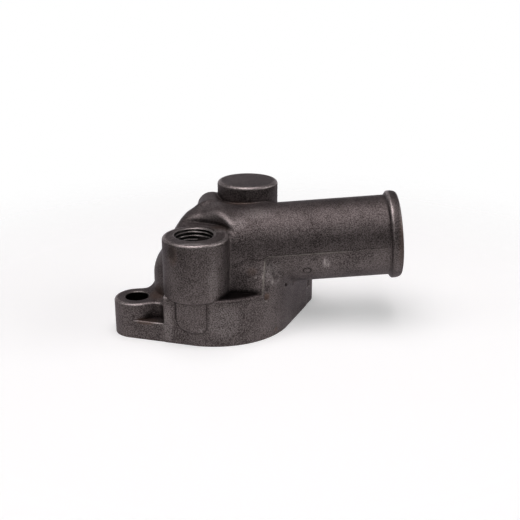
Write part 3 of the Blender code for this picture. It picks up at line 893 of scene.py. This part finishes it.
@dataclass
class SkinMesh:
    """Meshes a field: a net of quads, pulled onto the surface and refined where it bends."""

    distance: Field
    box: Box
    step: float
    bend: float = 13.0
    rounds: int = 2
    shortest: float = 0.16
    extra: Field | None = None

    def samples(self) -> tuple[list[np.ndarray], np.ndarray]:
        """Return the grid's axes and the distances at its points."""
        axes = [np.arange(low, high + self.step, self.step) for low, high in zip(*self.box)]
        layers = []
        for x in axes[0]:
            y, z = np.meshgrid(axes[1], axes[2], indexing="ij")
            flat = Cloud(np.full(y.size, x), y.ravel(), z.ravel())
            layers.append(self.distance(flat).reshape(y.shape))
        return axes, np.stack(layers)

    def net(self) -> tuple[np.ndarray, np.ndarray]:
        """Return the vertices and quads of the surface net."""
        axes, values = self.samples()
        inside = values < 0
        cells = tuple(size - 1 for size in values.shape)
        corners = [(i, j, k) for i in (0, 1) for j in (0, 1) for k in (0, 1)]

        def at(array: np.ndarray, corner: Sequence[int]) -> np.ndarray:
            i, j, k = corner
            return array[i:i + cells[0], j:j + cells[1], k:k + cells[2]]

        filled = sum(at(inside, corner).astype(np.int8) for corner in corners)
        active = (filled > 0) & (filled < 8)
        where = np.argwhere(active)
        total, hits = np.zeros(where.shape), np.zeros(len(where))
        for start in corners:
            for axis in range(3):
                if start[axis]:
                    continue
                end = tuple(1 if turn == axis else place for turn, place in enumerate(start))
                first, last = at(values, start)[active], at(values, end)[active]
                crossed = (first < 0) != (last < 0)
                share = first[crossed] / (first[crossed] - last[crossed])
                point = np.tile(np.array(start, float), (crossed.sum(), 1))
                point[:, axis] += share
                total[crossed] += point
                hits[crossed] += 1
        origin = np.array([axis[0] for axis in axes])
        vertices = origin + (where + total / hits[:, None]) * self.step
        number = np.full(cells, -1)
        number[active] = np.arange(len(where))
        return vertices, np.concatenate([self.quads(inside, number, axis) for axis in range(3)])

    @staticmethod
    def quads(inside: np.ndarray, number: np.ndarray, axis: int) -> np.ndarray:
        """Return the quads about the crossed grid edges that run along an axis.

        Args:
            inside: Which grid points lie inside.
            number: The vertex number of each cell, or -1.
            axis: The edges' axis.

        Returns:
            Four vertex numbers in each row, wound so that the quad faces outwards.
        """
        first = np.moveaxis(inside, axis, 0)
        cells = np.moveaxis(number, axis, 0)
        start, end = first[:-1, 1:-1, 1:-1], first[1:, 1:-1, 1:-1]
        ring = np.stack([cells[:, :-1, :-1], cells[:, 1:, :-1],
                         cells[:, 1:, 1:], cells[:, :-1, 1:]], axis=-1)
        leaving, entering = ring[start & ~end], ring[~start & end]
        if axis == 1:
            leaving, entering = leaving[:, ::-1], entering[:, ::-1]
        return np.concatenate([leaving, entering[:, ::-1]])

    def settle(self, points: np.ndarray, turns: int = 3) -> np.ndarray:
        """Pull points onto the surface and return them."""
        for _ in range(turns):
            slope = gradient(self.distance, points)
            size = np.maximum((slope ** 2).sum(axis=1), 0.05)
            away = np.clip(self.distance(Cloud.of(points)) / size, -0.4, 0.4)
            points = points - slope * away[:, None]
        return points

    def refine(self, mesh: bmesh.types.BMesh) -> int:
        """Split the edges along which the surface bends, and return how many there were."""
        points = np.array([vertex.co for vertex in mesh.verts])
        normals = facings(self.distance, points)
        limit = math.cos(math.radians(self.bend))
        mesh.edges.ensure_lookup_table()
        ends = np.array([(edge.verts[0].index, edge.verts[1].index) for edge in mesh.edges])
        bend = (normals[ends[:, 0]] * normals[ends[:, 1]]).sum(axis=1) < limit
        lengths = np.linalg.norm(points[ends[:, 0]] - points[ends[:, 1]], axis=1)
        if self.extra is not None:
            middles = Cloud.of((points[ends[:, 0]] + points[ends[:, 1]]) / 2)
            bend |= self.extra(middles) & (lengths > 0.3)
        chosen = np.flatnonzero(bend & (lengths > self.shortest))
        edges = [mesh.edges[int(index)] for index in chosen]
        bmesh.ops.subdivide_edges(mesh, edges=edges, cuts=1, use_grid_fill=True)
        bmesh.ops.triangulate(mesh, faces=[face for face in mesh.faces if len(face.verts) > 4])
        mesh.verts.index_update()
        return len(edges)

    def build(self, name: str) -> bpy.types.Mesh:
        """Make the mesh, in millimetres about the chamber's axis.

        Args:
            name: The mesh's name.

        Returns:
            A closed mesh that faces outwards.
        """
        vertices, quads = self.net()
        vertices = self.settle(vertices, 4)
        mesh = bmesh.new()
        made = [mesh.verts.new(point) for point in vertices]
        for quad in quads:
            mesh.faces.new([made[index] for index in quad])
        mesh.verts.index_update()
        for _ in range(self.rounds):
            split = self.refine(mesh)
            points = self.settle(np.array([vertex.co for vertex in mesh.verts]), 3)
            for vertex, point in zip(mesh.verts, points):
                vertex.co = point
            LOG.info("%s: %d edges split, %d faces", name, split, len(mesh.faces))
        bmesh.ops.recalc_face_normals(mesh, faces=mesh.faces)
        return baked(mesh, name)


@dataclass
class Machining:
    """Cuts a mesh with exact cutters, whose faces keep their own finish."""

    target: bpy.types.Object
    finish: bpy.types.Material

    def cut(self, mesh: bpy.types.Mesh) -> None:
        """Cut the target with a closed mesh.

        Args:
            mesh: The cutter, in the target's own space.
        """
        if not mesh.materials:
            mesh.materials.append(self.finish)
        tool = placed("cutter", mesh)
        modifier = self.target.modifiers.new("cut", "BOOLEAN")
        modifier.operation = "DIFFERENCE"
        modifier.solver = "EXACT"
        modifier.material_mode = "TRANSFER"
        modifier.object = tool
        cut = evaluated(self.target)
        self.target.modifiers.remove(modifier)
        old = self.target.data
        self.target.data = cut
        bpy.data.meshes.remove(old)
        bpy.data.objects.remove(tool)

    @staticmethod
    def turned(name: str, axis: Matrix, profile: Sequence[tuple[float, float]],
               steps: int) -> bpy.types.Mesh:
        """Turn a profile about an axis into a closed mesh.

        Args:
            name: The mesh's name.
            axis: Where the profile's own axis stands.
            profile: Radius and height of each ring, upwards, the ends closed flat.
            steps: How many steps go round.

        Returns:
            The turned mesh.
        """
        mesh = bmesh.new()
        turns = [2 * math.pi * step / steps for step in range(steps)]
        rings = [[mesh.verts.new((radius * math.cos(turn), radius * math.sin(turn), height))
                  for turn in turns] for radius, height in profile]
        for lower, upper in zip(rings, rings[1:]):
            for step in range(steps):
                after = (step + 1) % steps
                mesh.faces.new((lower[step], lower[after], upper[after], upper[step]))
        mesh.faces.new(rings[0][::-1])
        mesh.faces.new(rings[-1])
        mesh.transform(axis)
        return baked(mesh, name)


@dataclass
class NodeTree:
    """Adds nodes to a tree, each with its settings made before its values."""

    tree: bpy.types.NodeTree

    def add(self, kind: str, settings: dict | None = None,
            values: dict | None = None) -> bpy.types.Node:
        """Add a node.

        Args:
            kind: The node's type.
            settings: Properties to set first.
            values: Inputs by name or number, each a constant, a socket or a wrapped socket.

        Returns:
            The new node.
        """
        node = self.tree.nodes.new(kind)
        for key, value in (settings or {}).items():
            setattr(node, key, value)
        for key, value in (values or {}).items():
            self.feed(node.inputs[key], value)
        return node

    def feed(self, socket: bpy.types.NodeSocket, value: object) -> None:
        """Set an input to a constant, or link a socket to it."""
        source = value.socket if isinstance(value, Value) else value
        if isinstance(source, bpy.types.NodeSocket):
            self.tree.links.new(source, socket)
        else:
            socket.default_value = source

    def value(self, kind: str, output: int | str = 0, settings: dict | None = None,
              values: dict | None = None) -> Value:
        """Add a node and return one of its outputs, wrapped for sums."""
        return Value(self, self.add(kind, settings, values).outputs[output])


@dataclass(frozen=True)
class Value:
    """A number in a node tree, with the usual signs for sums."""

    nodes: NodeTree
    socket: bpy.types.NodeSocket

    def math(self, operation: str, first: object, second: object = 0.0) -> Value:
        """Return the result of one Math node."""
        values = {0: first, 1: second}
        return self.nodes.value("ShaderNodeMath", 0, {"operation": operation}, values)

    def __add__(self, other: object) -> Value:
        return self.math("ADD", self, other)

    def __radd__(self, other: object) -> Value:
        return self.math("ADD", other, self)

    def __sub__(self, other: object) -> Value:
        return self.math("SUBTRACT", self, other)

    def __rsub__(self, other: object) -> Value:
        return self.math("SUBTRACT", other, self)

    def __mul__(self, other: object) -> Value:
        return self.math("MULTIPLY", self, other)

    def __rmul__(self, other: object) -> Value:
        return self.math("MULTIPLY", other, self)

    def __truediv__(self, other: object) -> Value:
        return self.math("DIVIDE", self, other)

    def __rtruediv__(self, other: object) -> Value:
        return self.math("DIVIDE", other, self)

    def between(self, start: float, end: float) -> Value:
        """Return 0 below a start, 1 above an end and a smooth rise between them."""
        settings = {"interpolation_type": "SMOOTHSTEP"}
        values = {"Value": self, "From Min": start, "From Max": end, "To Min": 0.0, "To Max": 1.0}
        return self.nodes.value("ShaderNodeMapRange", "Result", settings, values)


@dataclass(frozen=True)
class ThreadedPlug:
    """The plug that leaves a thread in the sensor's hole, made by Geometry Nodes."""

    bosses: Bosses
    turns: int = 96
    rows_per_pitch: int = 8
    run_out: float = 1.5
    first_turn: float = 0.22

    @property
    def inputs(self) -> dict[str, float]:
        """Return the node group's inputs with the values that they take."""
        bosses = self.bosses
        return {"Radius": bosses.minor_radius, "Mouth radius": bosses.mouth_radius,
                "Mouth depth": bosses.mouth_depth, "Pitch": bosses.pitch,
                "Thread depth": bosses.thread_depth, "Thread length": bosses.thread_length,
                "Length": bosses.hole_depth}

    def make(self, finish: bpy.types.Material) -> bpy.types.Mesh:
        """Return the plug's mesh, standing where the hole is.

        Args:
            finish: The material of the threaded faces.

        Returns:
            A closed mesh.
        """
        plug = placed("sensor_thread", bpy.data.meshes.new("sensor_thread"))
        group = self.group(finish)
        modifier = plug.modifiers.new("thread", "NODES")
        modifier.node_group = group
        for item in group.interface.items_tree:
            if item.item_type == "SOCKET" and item.name in self.inputs:
                modifier[item.identifier] = self.inputs[item.name]
        bpy.context.view_layer.update()
        made = evaluated(plug)
        bpy.data.objects.remove(plug)
        made.transform(Matrix.Translation((*self.bosses.hole, self.bosses.sensor_top)))
        return made

    def group(self, finish: bpy.types.Material) -> bpy.types.NodeTree:
        """Return the node group that wraps a grid into a threaded plug."""
        tree = bpy.data.node_groups.new("threaded_plug", "GeometryNodeTree")
        for name in self.inputs:
            tree.interface.new_socket(name, in_out="INPUT", socket_type="NodeSocketFloat")
        tree.interface.new_socket("Mesh", in_out="OUTPUT", socket_type="NodeSocketGeometry")
        nodes = NodeTree(tree)
        given = nodes.add("NodeGroupInput")

        def named(name: str) -> Value:
            return Value(nodes, given.outputs[name])

        rows = round(self.bosses.hole_depth / self.bosses.pitch) * self.rows_per_pitch
        body = nodes.add("GeometryNodeMeshCylinder", {"fill_type": "NGON"}, {
            "Vertices": self.turns, "Side Segments": rows, "Radius": 1.0, "Depth": 2.0})
        grid = nodes.value("GeometryNodeInputPosition")
        parts = nodes.add("ShaderNodeSeparateXYZ", values={0: grid})
        x, y, z = (Value(nodes, parts.outputs[axis]) for axis in "XYZ")
        depth = (1.0 - z) * 0.5 * (named("Length") + 1.0) - 1.0
        turn = x.math("ARCTAN2", y, x) / (2 * math.pi)
        phase = depth / named("Pitch") + turn + self.first_turn
        saw = phase.math("FRACT", phase)
        ridge = saw.math("ABSOLUTE", saw * 2.0 - 1.0)
        flank = ridge * 1.35 - 0.2
        groove = flank.math("MAXIMUM", flank.math("MINIMUM", flank, 1.0), 0.0)
        end = named("Thread length")
        fade = 1.0 - depth.between(end - self.run_out, end)
        begin = depth.between(-0.2, 0.4)
        mouth = named("Mouth depth") - depth
        cone = mouth.math("MINIMUM", mouth.math("MAXIMUM", mouth, 0.0), named("Mouth depth"))
        opening = (named("Mouth radius") - named("Radius")) * (cone / named("Mouth depth"))
        thread = groove * named("Thread depth") * fade * begin
        radius = named("Radius") + opening.math("MAXIMUM", opening, thread)
        place = nodes.add("ShaderNodeCombineXYZ", values={
            0: x * radius, 1: y * radius, 2: 0.0 - depth})
        moved = nodes.add("GeometryNodeSetPosition", values={
            "Geometry": body.outputs[0], "Position": place.outputs[0]})
        real = nodes.add("GeometryNodeRealizeInstances", values={0: moved.outputs[0]})
        painted = nodes.add("GeometryNodeSetMaterial", values={
            "Geometry": real.outputs[0], "Material": finish})
        nodes.add("NodeGroupOutput", values={0: painted.outputs[0]})
        return tree


# Finishes

def blank_material(name: str) -> tuple[bpy.types.Material, NodeTree]:
    """Return a new material and its empty node tree."""
    material = bpy.data.materials.new(name)
    material.use_nodes = True
    material.node_tree.nodes.clear()
    return material, NodeTree(material.node_tree)


class Form(Enum):
    """How a face of the casting was left."""

    CAST = "cast"
    TURNED = "turned"


@dataclass(frozen=True)
class MetalFinish:
    """Dull grey brown aluminium, as cast or machined."""

    form: Form
    metal: tuple[float, float, float] = (0.205, 0.174, 0.171)
    dark: tuple[float, float, float] = (0.020, 0.015, 0.014)
    # Painted shade in corners and creases.
    corner_shade_tone: tuple[float, float, float] = (0.02, 0.014, 0.012)
    # Rubbed metal at scuffs, and painted highlights on upward edges, the crest and the threaded boss's
    # rim.
    bare_and_highlight: tuple[float, float, float] = (0.50, 0.44, 0.43)
    # Mostly painted highlights, with a rubbed patch at a scuff.
    pale: tuple[float, float, float] = (0.30, 0.265, 0.26)
    rust: tuple[float, float, float] = (0.135, 0.085, 0.062)
    seam: tuple[float, float, float] = (0.27, 0.25, 0.22)
    # Painted shade in holes, grooves and recesses, and dark dirt at stains.
    soot: tuple[float, float, float] = (0.004, 0.003, 0.002)
    gloss: tuple[float, float, float] = (0.65, 0.62, 0.66)
    gloss_level: float = 0.4
    metallic: float = 0.8
    rough: float = 0.5
    grain: float = 2500.0

    def make(self, name: str) -> bpy.types.Material:
        """Return the material.

        Args:
            name: Its name.

        Returns:
            A material driven by Object coordinates and the mesh's attributes.
        """
        material, nodes = blank_material(name)
        place = nodes.add("ShaderNodeTexCoord").outputs["Object"]

        def noise(scale: float, detail: float = 2.0, rough: float = 0.5) -> Value:
            wanted = {"Vector": place, "Scale": scale, "Detail": detail, "Roughness": rough}
            return nodes.value("ShaderNodeTexNoise", "Fac", None, wanted)

        def attribute(mask: str) -> Value:
            return nodes.value("ShaderNodeAttribute", "Fac", {"attribute_name": mask})

        def mix(factor: object, first: object, second: Sequence[float]) -> bpy.types.NodeSocket:
            values = {0: factor, 6: first, 7: (*second, 1.0)}
            return nodes.add("ShaderNodeMix", {"data_type": "RGBA"}, values).outputs[2]

        grain = noise(self.grain, 3.0, 0.65)
        cloud = noise(120.0, 3.0, 0.6)
        broad = noise(35.0, 2.0, 0.5)
        shader = nodes.add("ShaderNodeBsdfPrincipled", values={
            "Metallic": self.metallic, "Specular Tint": (*self.gloss, 1.0),
            "Specular IOR Level": self.gloss_level})
        speckle = grain.between(0.39, 0.63)
        shade = speckle * 0.7 + cloud.between(0.3, 0.7) * 0.2 + broad.between(0.35, 0.65) * 0.1
        colour = mix(shade, (*self.dark, 1.0), self.metal)
        # The corner layer and the near black layer are painted shade, the near black one also dark dirt
        # at stains; the edge and pale layers are painted highlights, also rubbed metal at scuffs.
        layers = [("soot", 0.95, self.soot)]
        if self.form is Form.CAST:
            layers = [("corner_shade", 0.8, self.corner_shade_tone),
                      ("edge", 0.3 + speckle * 0.6, self.bare_and_highlight),
                      ("pale", 0.2 + speckle * 0.8, self.pale),
                      ("rust", 0.55, self.rust),
                      ("seam", 0.25 + cloud.between(0.35, 0.6) * 0.45, self.seam)] + layers
        for mask, strength, tone in layers:
            colour = mix(attribute(mask) * strength, colour, tone)
        nodes.feed(shader.inputs["Base Color"], colour)
        rough = self.rough + (grain - 0.5) * 0.25 + (cloud - 0.5) * 0.1
        if self.form is Form.CAST:
            rough = rough - attribute("edge") * 0.15
        nodes.feed(shader.inputs["Roughness"], rough)
        height = grain * 0.7 + cloud * 0.3
        strength = 0.55 if self.form is Form.CAST else 0.2
        bump = nodes.add("ShaderNodeBump", values={
            "Strength": strength, "Distance": 0.00022, "Height": height})
        nodes.feed(shader.inputs["Normal"], bump.outputs[0])
        nodes.add("ShaderNodeOutputMaterial", values={"Surface": shader.outputs[0]})
        return material


# The piece

@dataclass
class Housing:
    """The casting as a piece of the model."""

    casting: Casting
    low: Vector
    skin_box: Box = ((-42.0, -34.0, -4.2), (76.0, 32.5, 55.0))
    skin_step: float = 0.66
    core_box: Box = ((-29.0, -29.0, -5.0), (79.0, 29.0, 52.0))
    core_step: float = 1.1
    hole_chamfer: float = 0.35
    probe: float = 1.6
    crease: float = 38.0

    @property
    def axis(self) -> Vector:
        """Return where the chamber's axis stands in the frame, in millimetres."""
        ear = self.casting.flange.ear_radius - self.casting.flange.left_bolt.x
        boss = self.casting.bosses.sensor_radius - self.casting.bosses.sensor.y
        return Vector((self.low.x + ear, self.low.y + boss, 0))

    def make(self, cast: bpy.types.Material, turned: bpy.types.Material) -> bpy.types.Object:
        """Return the finished piece.

        Args:
            cast: The finish of the skin as cast.
            turned: The finish of the machined faces.

        Returns:
            The object, at the origin, unturned and unscaled.
        """
        form = self.casting
        skin = SkinMesh(form.skin, self.skin_box, self.skin_step,
                        extra=lambda cloud: form.marks.fine(cloud, form.neck))
        core = SkinMesh(form.water, self.core_box, self.core_step, bend=25.0, rounds=1)
        outer, inner = skin.build("housing_skin"), core.build("water_side")
        outer.materials.append(cast)
        inner.materials.append(cast)
        piece = placed("thermostat_housing", outer)
        machine = Machining(piece, turned)
        machine.cut(inner)
        self.machine(machine)
        self.finish(piece)
        return piece

    def machine(self, machine: Machining) -> None:
        """Cut the joint face, the bolt holes and the sensor's threaded hole."""
        flange = self.casting.flange
        machine.cut(Machining.turned("joint_face", Matrix.Identity(4), [(90, -9), (90, 0)], 8))
        radius, top = flange.hole_radius, flange.ear_height
        wide = radius + self.hole_chamfer
        profile = [(radius, -2), (radius, top - self.hole_chamfer), (wide, top), (wide, top + 1)]
        for bolt in (flange.left_bolt, flange.right_bolt):
            machine.cut(Machining.turned("bolt_hole", Matrix.Translation((*bolt, 0)), profile, 64))
        machine.cut(ThreadedPlug(self.casting.bosses).make(machine.finish))
        LOG.info("machined, %d faces", len(machine.target.data.polygons))

    def finish(self, piece: bpy.types.Object) -> None:
        """Give the piece its attributes, move it to the frame's place and shade it smooth."""
        data = piece.data
        points = np.empty(len(data.vertices) * 3)
        data.vertices.foreach_get("co", points)
        points = points.reshape(-1, 3)
        self.paint(data, points)
        data.transform(Matrix.Scale(MM, 4) @ Matrix.Translation(self.axis))
        data.shade_smooth()
        data.set_sharp_from_angle(angle=math.radians(self.crease))

    def paint(self, data: bpy.types.Mesh, points: np.ndarray) -> None:
        """Write each vertex's painted corner shade, painted edge highlight, seam, rust, near black
        painted shade and dirt, and the spots, the pale ones mostly painted highlights.

        Args:
            data: The piece's mesh.
            points: Its vertices, in millimetres about the chamber's axis.
        """
        form = self.casting
        normals = facings(form.skin, points)
        open_air = form.skin(Cloud.of(points + normals * self.probe)) / self.probe
        outwards, inwards = self.bends(data, points, normals)
        # Painted shade where the skin lies in a corner or bends inwards.
        corner_shade = np.maximum(np.clip(0.95 - open_air, 0, 1), 0.7 * smooth_step(inwards, 0.7, 2.0))
        # Painted highlight on convex edges that face upwards.
        edge = smooth_step(outwards, 0.3, 0.85) * smooth_step(normals[:, 2], 0.05, 0.6)
        cloud = Cloud.of(points)
        # No painted shade on the crest above the spanner room.
        corner_shade *= 1 - self.crest(cloud)
        # Less painted shade where the saddle meets the block.
        saddle = (cloud.y < -7) & (cloud.z > form.block.top - 1) & (cloud.x < 33)
        corner_shade *= 1 - 0.85 * smooth_step(cloud.x, 17.5, 19.5) * saddle
        # No painted highlight on the block's top front edge right of the threaded boss.
        edge *= 1 - smooth_step(cloud.x, -7.0, -3.0) * (np.abs(cloud.z - form.block.top) < 2.0)
        line = form.marks.seam(cloud, form.neck) / form.marks.seam_height
        # No painted highlight on the seam.
        edge *= 1 - np.clip(line * 2, 0, 1)
        # Painted highlight on the crest above the spanner room.
        edge = np.maximum(edge, 0.35 * self.crest(cloud))
        worn = 1 - 0.8 * smooth_step(cloud.x, 32.0, 58.0)
        painted = {"corner_shade": corner_shade, "edge": edge, "seam": line * worn, "rust": np.zeros(len(points)),
                   "soot": self.soot(cloud), "pale": np.zeros(len(points))}
        for spot in form.marks.spots:
            name = spot.tint.value
            painted[name] = np.maximum(painted[name], spot.cover(points))
        for name, values in painted.items():
            layer = data.attributes.new(name, "FLOAT", "POINT")
            layer.data.foreach_set("value", values.astype(np.float32))

    @staticmethod
    def bends(data: bpy.types.Mesh, points: np.ndarray,
              normals: np.ndarray) -> tuple[np.ndarray, np.ndarray]:
        """Return how strongly the skin bends at each vertex, in turns to a millimetre.

        Args:
            data: The mesh, for its edges.
            points: Its vertices.
            normals: The skin's normal at each of them.

        Returns:
            The strongest bend outwards and the strongest bend inwards.
        """
        ends = np.empty(len(data.edges) * 2, dtype=np.int32)
        data.edges.foreach_get("vertices", ends)
        first, last = ends.reshape(-1, 2).T
        run, turn = points[last] - points[first], normals[last] - normals[first]
        bend = (run * turn).sum(axis=1) / np.maximum((run ** 2).sum(axis=1), 0.02)
        most, least = np.zeros(len(points)), np.zeros(len(points))
        for vertex in (first, last):
            np.maximum.at(most, vertex, bend)
            np.minimum.at(least, vertex, bend)
        return most, -least

    def soot(self, cloud: Cloud) -> np.ndarray:
        """Return how near black the skin is painted: painted shade on the shelf, in the bolt holes, in
        the thread's grooves and deep in the sensor's hole, with the fainter darkening added.
        """
        form = self.casting
        block, bosses = form.block, form.bosses
        # Painted shade on the shelf between the block's top and the wall above it.
        shelf = smooth_step(cloud.z, block.top - 0.5, block.top - 0.1)
        low = 1 - smooth_step(cloud.z, block.top + 0.1, block.top + 2.2)
        along = smooth_step(cloud.x, 1.0, 3.0) * (1 - smooth_step(cloud.x, 15.5, 18.6))
        inner = 1 - smooth_step(np.hypot(cloud.x, cloud.y), block.radius - 2.4, block.radius - 1.2)
        darkened = shelf * low * along * inner * (cloud.y < -14)
        # Painted shade in the thread's grooves and deep in the sensor's hole.
        hole = cloud.disc(bosses.hole, 0)
        groove = smooth_step(hole, bosses.minor_radius + 0.03, bosses.minor_radius + 0.22)
        depth = bosses.sensor_top - cloud.z
        below = smooth_step(depth, 0.3, 0.6) * (hole < bosses.mouth_radius + 0.1)
        deep = smooth_step(depth, 3.5, 6.0)
        darkened = np.maximum(darkened, below * np.maximum(groove, 0.9 * deep))
        # Painted shade inside the bolt holes.
        for bolt in (form.flange.left_bolt, form.flange.right_bolt):
            bore = cloud.disc(bolt, 0) < form.flange.hole_radius + 0.2
            inside = smooth_step(form.flange.ear_height - cloud.z, 0.1, 0.3)
            darkened = np.maximum(darkened, bore * inside)
        return np.maximum(darkened, self.faint(cloud))

    def crest(self, cloud: Cloud) -> np.ndarray:
        """Return where a painted highlight lies on the rounded crest above the spanner room."""
        room = self.casting.bosses
        away = np.abs(cloud.disc(room.room, room.room_radius) - 0.9)
        return (1 - smooth_step(away, 0.7, 2.0)) * smooth_step(cloud.z, 42.4, 43.4) * (cloud.y < 4)

    def faint(self, cloud: Cloud) -> np.ndarray:
        """Return the fainter darkening: a painted shadow line at the pad's edge, painted shade at the
        foot of the room's wall, and the ring mark darkened.
        """
        block, bosses = self.casting.block, self.casting.bosses
        line = 1 - smooth_step(np.abs(block.pad_line(cloud) - 0.2), 0.15, 0.6)
        low = (cloud.z < block.top - 1) & (cloud.y < -24)
        pad = line * low * (1 - smooth_step(cloud.x, -7.0, -3.5))
        wall = 1 - smooth_step(np.abs(cloud.disc(bosses.room, bosses.room_radius)), 0.3, 1.4)
        foot = (cloud.z > bosses.sensor_top - 0.2) * (1 - smooth_step(cloud.z, 41.8, 43.2))
        ring = self.casting.marks.ring(cloud, self.casting.neck) / self.casting.marks.ring_depth
        return 0.6 * np.maximum(np.maximum(pad, wall * foot), ring)


# The studio

@dataclass(frozen=True)
class Softbox:
    """A square area light that looks at the part."""

    name: str
    place: tuple[float, float, float]
    size: float
    power: float
    colour: tuple[float, float, float] = (1.0, 1.0, 1.0)

    def make(self, target: Vector) -> None:
        """Add the light to the scene."""
        lamp = bpy.data.lights.new(self.name, "AREA")
        lamp.shape = "SQUARE"
        lamp.size = self.size
        lamp.energy = self.power
        lamp.color = self.colour
        holder = placed(self.name, lamp)
        holder.location = self.place
        holder.rotation_euler = (target - Vector(self.place)).to_track_quat("-Z", "Y").to_euler()


@dataclass(frozen=True)
class Studio:
    """The pale floor, the soft lights, the white background and the camera."""

    floor_size: float = 0.8
    floor_clear: float = 0.10
    floor_end: float = 0.25
    floor_colour: float = 0.8
    floor_glow: float = 0.35
    world: float = 0.07
    distance: float = 0.344
    elevation: float = 20.0
    lens: float = 59.54
    target: tuple[float, float, float] = (0.0173, -0.0026, 0.0251)
    lights: tuple[Softbox, ...] = (
        Softbox("overhead", (-0.06, -0.08, 0.75), 0.6, 3.4, (1.0, 0.95, 0.965)),
        Softbox("rear", (-0.3, 1.1, 0.5), 0.7, 0.35),
        Softbox("front_top", (-0.1, -0.55, 0.7), 0.45, 0.9),
        Softbox("left_top", (-0.62, -0.15, 0.68), 0.45, 0.55),
        Softbox("right", (0.8, -0.1, 0.42), 0.5, 2.2),
    )

    def floor(self) -> None:
        """Add the floor that the part stands on, which fades into the white background."""
        mesh = bmesh.new()
        bmesh.ops.create_circle(mesh, cap_ends=True, segments=96, radius=self.floor_size / 2)
        floor = placed("floor", baked(mesh, "floor"))
        material, nodes = blank_material("pale_floor")
        place = nodes.add("ShaderNodeTexCoord").outputs["Object"]
        away = nodes.value("ShaderNodeVectorMath", "Value", {"operation": "LENGTH"}, {0: place})
        grey = (self.floor_colour,) * 3 + (1.0,)
        shader = nodes.add("ShaderNodeBsdfPrincipled", values={
            "Base Color": grey, "Roughness": 0.9, "Specular IOR Level": 0.1,
            "Emission Color": (1.0, 1.0, 1.0, 1.0), "Emission Strength": self.floor_glow,
            "Alpha": 1.0 - away.between(self.floor_clear, self.floor_end)})
        nodes.add("ShaderNodeOutputMaterial", values={"Surface": shader.outputs[0]})
        floor.data.materials.append(material)

    def sky(self) -> None:
        """Set a grey sky, white to the camera and, low behind the part, to metal and glass."""
        world = bpy.data.worlds.new("studio")
        bpy.context.scene.world = world
        world.use_nodes = True
        world.node_tree.nodes.clear()
        nodes = NodeTree(world.node_tree)
        path = nodes.add("ShaderNodeLightPath")
        soft, white = (nodes.add("ShaderNodeBackground", values={
            "Color": (1.0, 1.0, 1.0, 1.0), "Strength": power}) for power in (self.world, 1.0))
        place = nodes.value("ShaderNodeTexCoord", "Generated")
        ways = nodes.add("ShaderNodeSeparateXYZ", values={0: place})
        rise = Value(nodes, ways.outputs["Z"])
        behind = Value(nodes, ways.outputs["Y"]).between(0.3, 0.8)
        low = rise.between(-0.25, -0.05) * (1.0 - rise.between(0.05, 0.35))
        camera, glossy, through = (Value(nodes, path.outputs[f"Is {kind} Ray"])
                                   for kind in ("Camera", "Glossy", "Transmission"))
        mirrored = glossy.math("MAXIMUM", glossy, through) * behind * low
        seen = camera.math("MAXIMUM", camera, mirrored)
        mixed = nodes.add("ShaderNodeMixShader", values={
            0: seen, 1: soft.outputs[0], 2: white.outputs[0]})
        nodes.add("ShaderNodeOutputWorld", values={"Surface": mixed.outputs[0]})

    def camera(self, axis: Vector) -> None:
        """Add the camera, level, in front of the part and above it.

        Args:
            axis: Where the chamber's axis stands, in millimetres.
        """
        lens = bpy.data.cameras.new("camera")
        lens.lens = self.lens
        lens.sensor_width = 36.0
        lens.clip_start = 0.01
        holder = placed("camera", lens)
        rise = math.radians(self.elevation)
        target = Vector(self.target) + axis * MM
        holder.location = target + Vector((0, -math.cos(rise), math.sin(rise))) * self.distance
        holder.rotation_euler = (math.radians(90 - self.elevation), 0, 0)
        bpy.context.scene.camera = holder

    def make(self, axis: Vector) -> None:
        """Set up the whole studio."""
        self.floor()
        self.sky()
        for light in self.lights:
            light.make(Vector((0, 0, 0.02)))
        self.camera(axis)
        bpy.context.scene.view_settings.view_transform = "Standard"


def main() -> None:
    """Load the frame, make the housing and its studio, and log the piece's face count."""
    logging.basicConfig(level=logging.INFO, format="%(name)s: %(message)s")
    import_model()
    low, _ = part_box(NODE)
    cast = MetalFinish(Form.CAST).make("cast_skin")
    turned = MetalFinish(Form.TURNED, metal=(0.42, 0.38, 0.37), dark=(0.10, 0.085, 0.08),
                         rough=0.38, grain=2400.0).make("turned_face")
    housing = Housing(Casting(), low / MM)
    piece = housing.make(cast, turned)
    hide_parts(NODE)
    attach(piece, BODY)
    LOG.info("%s: %d faces", piece.name, len(piece.data.polygons))
    Studio().make(housing.axis)


if __name__ == "__main__":
    main()
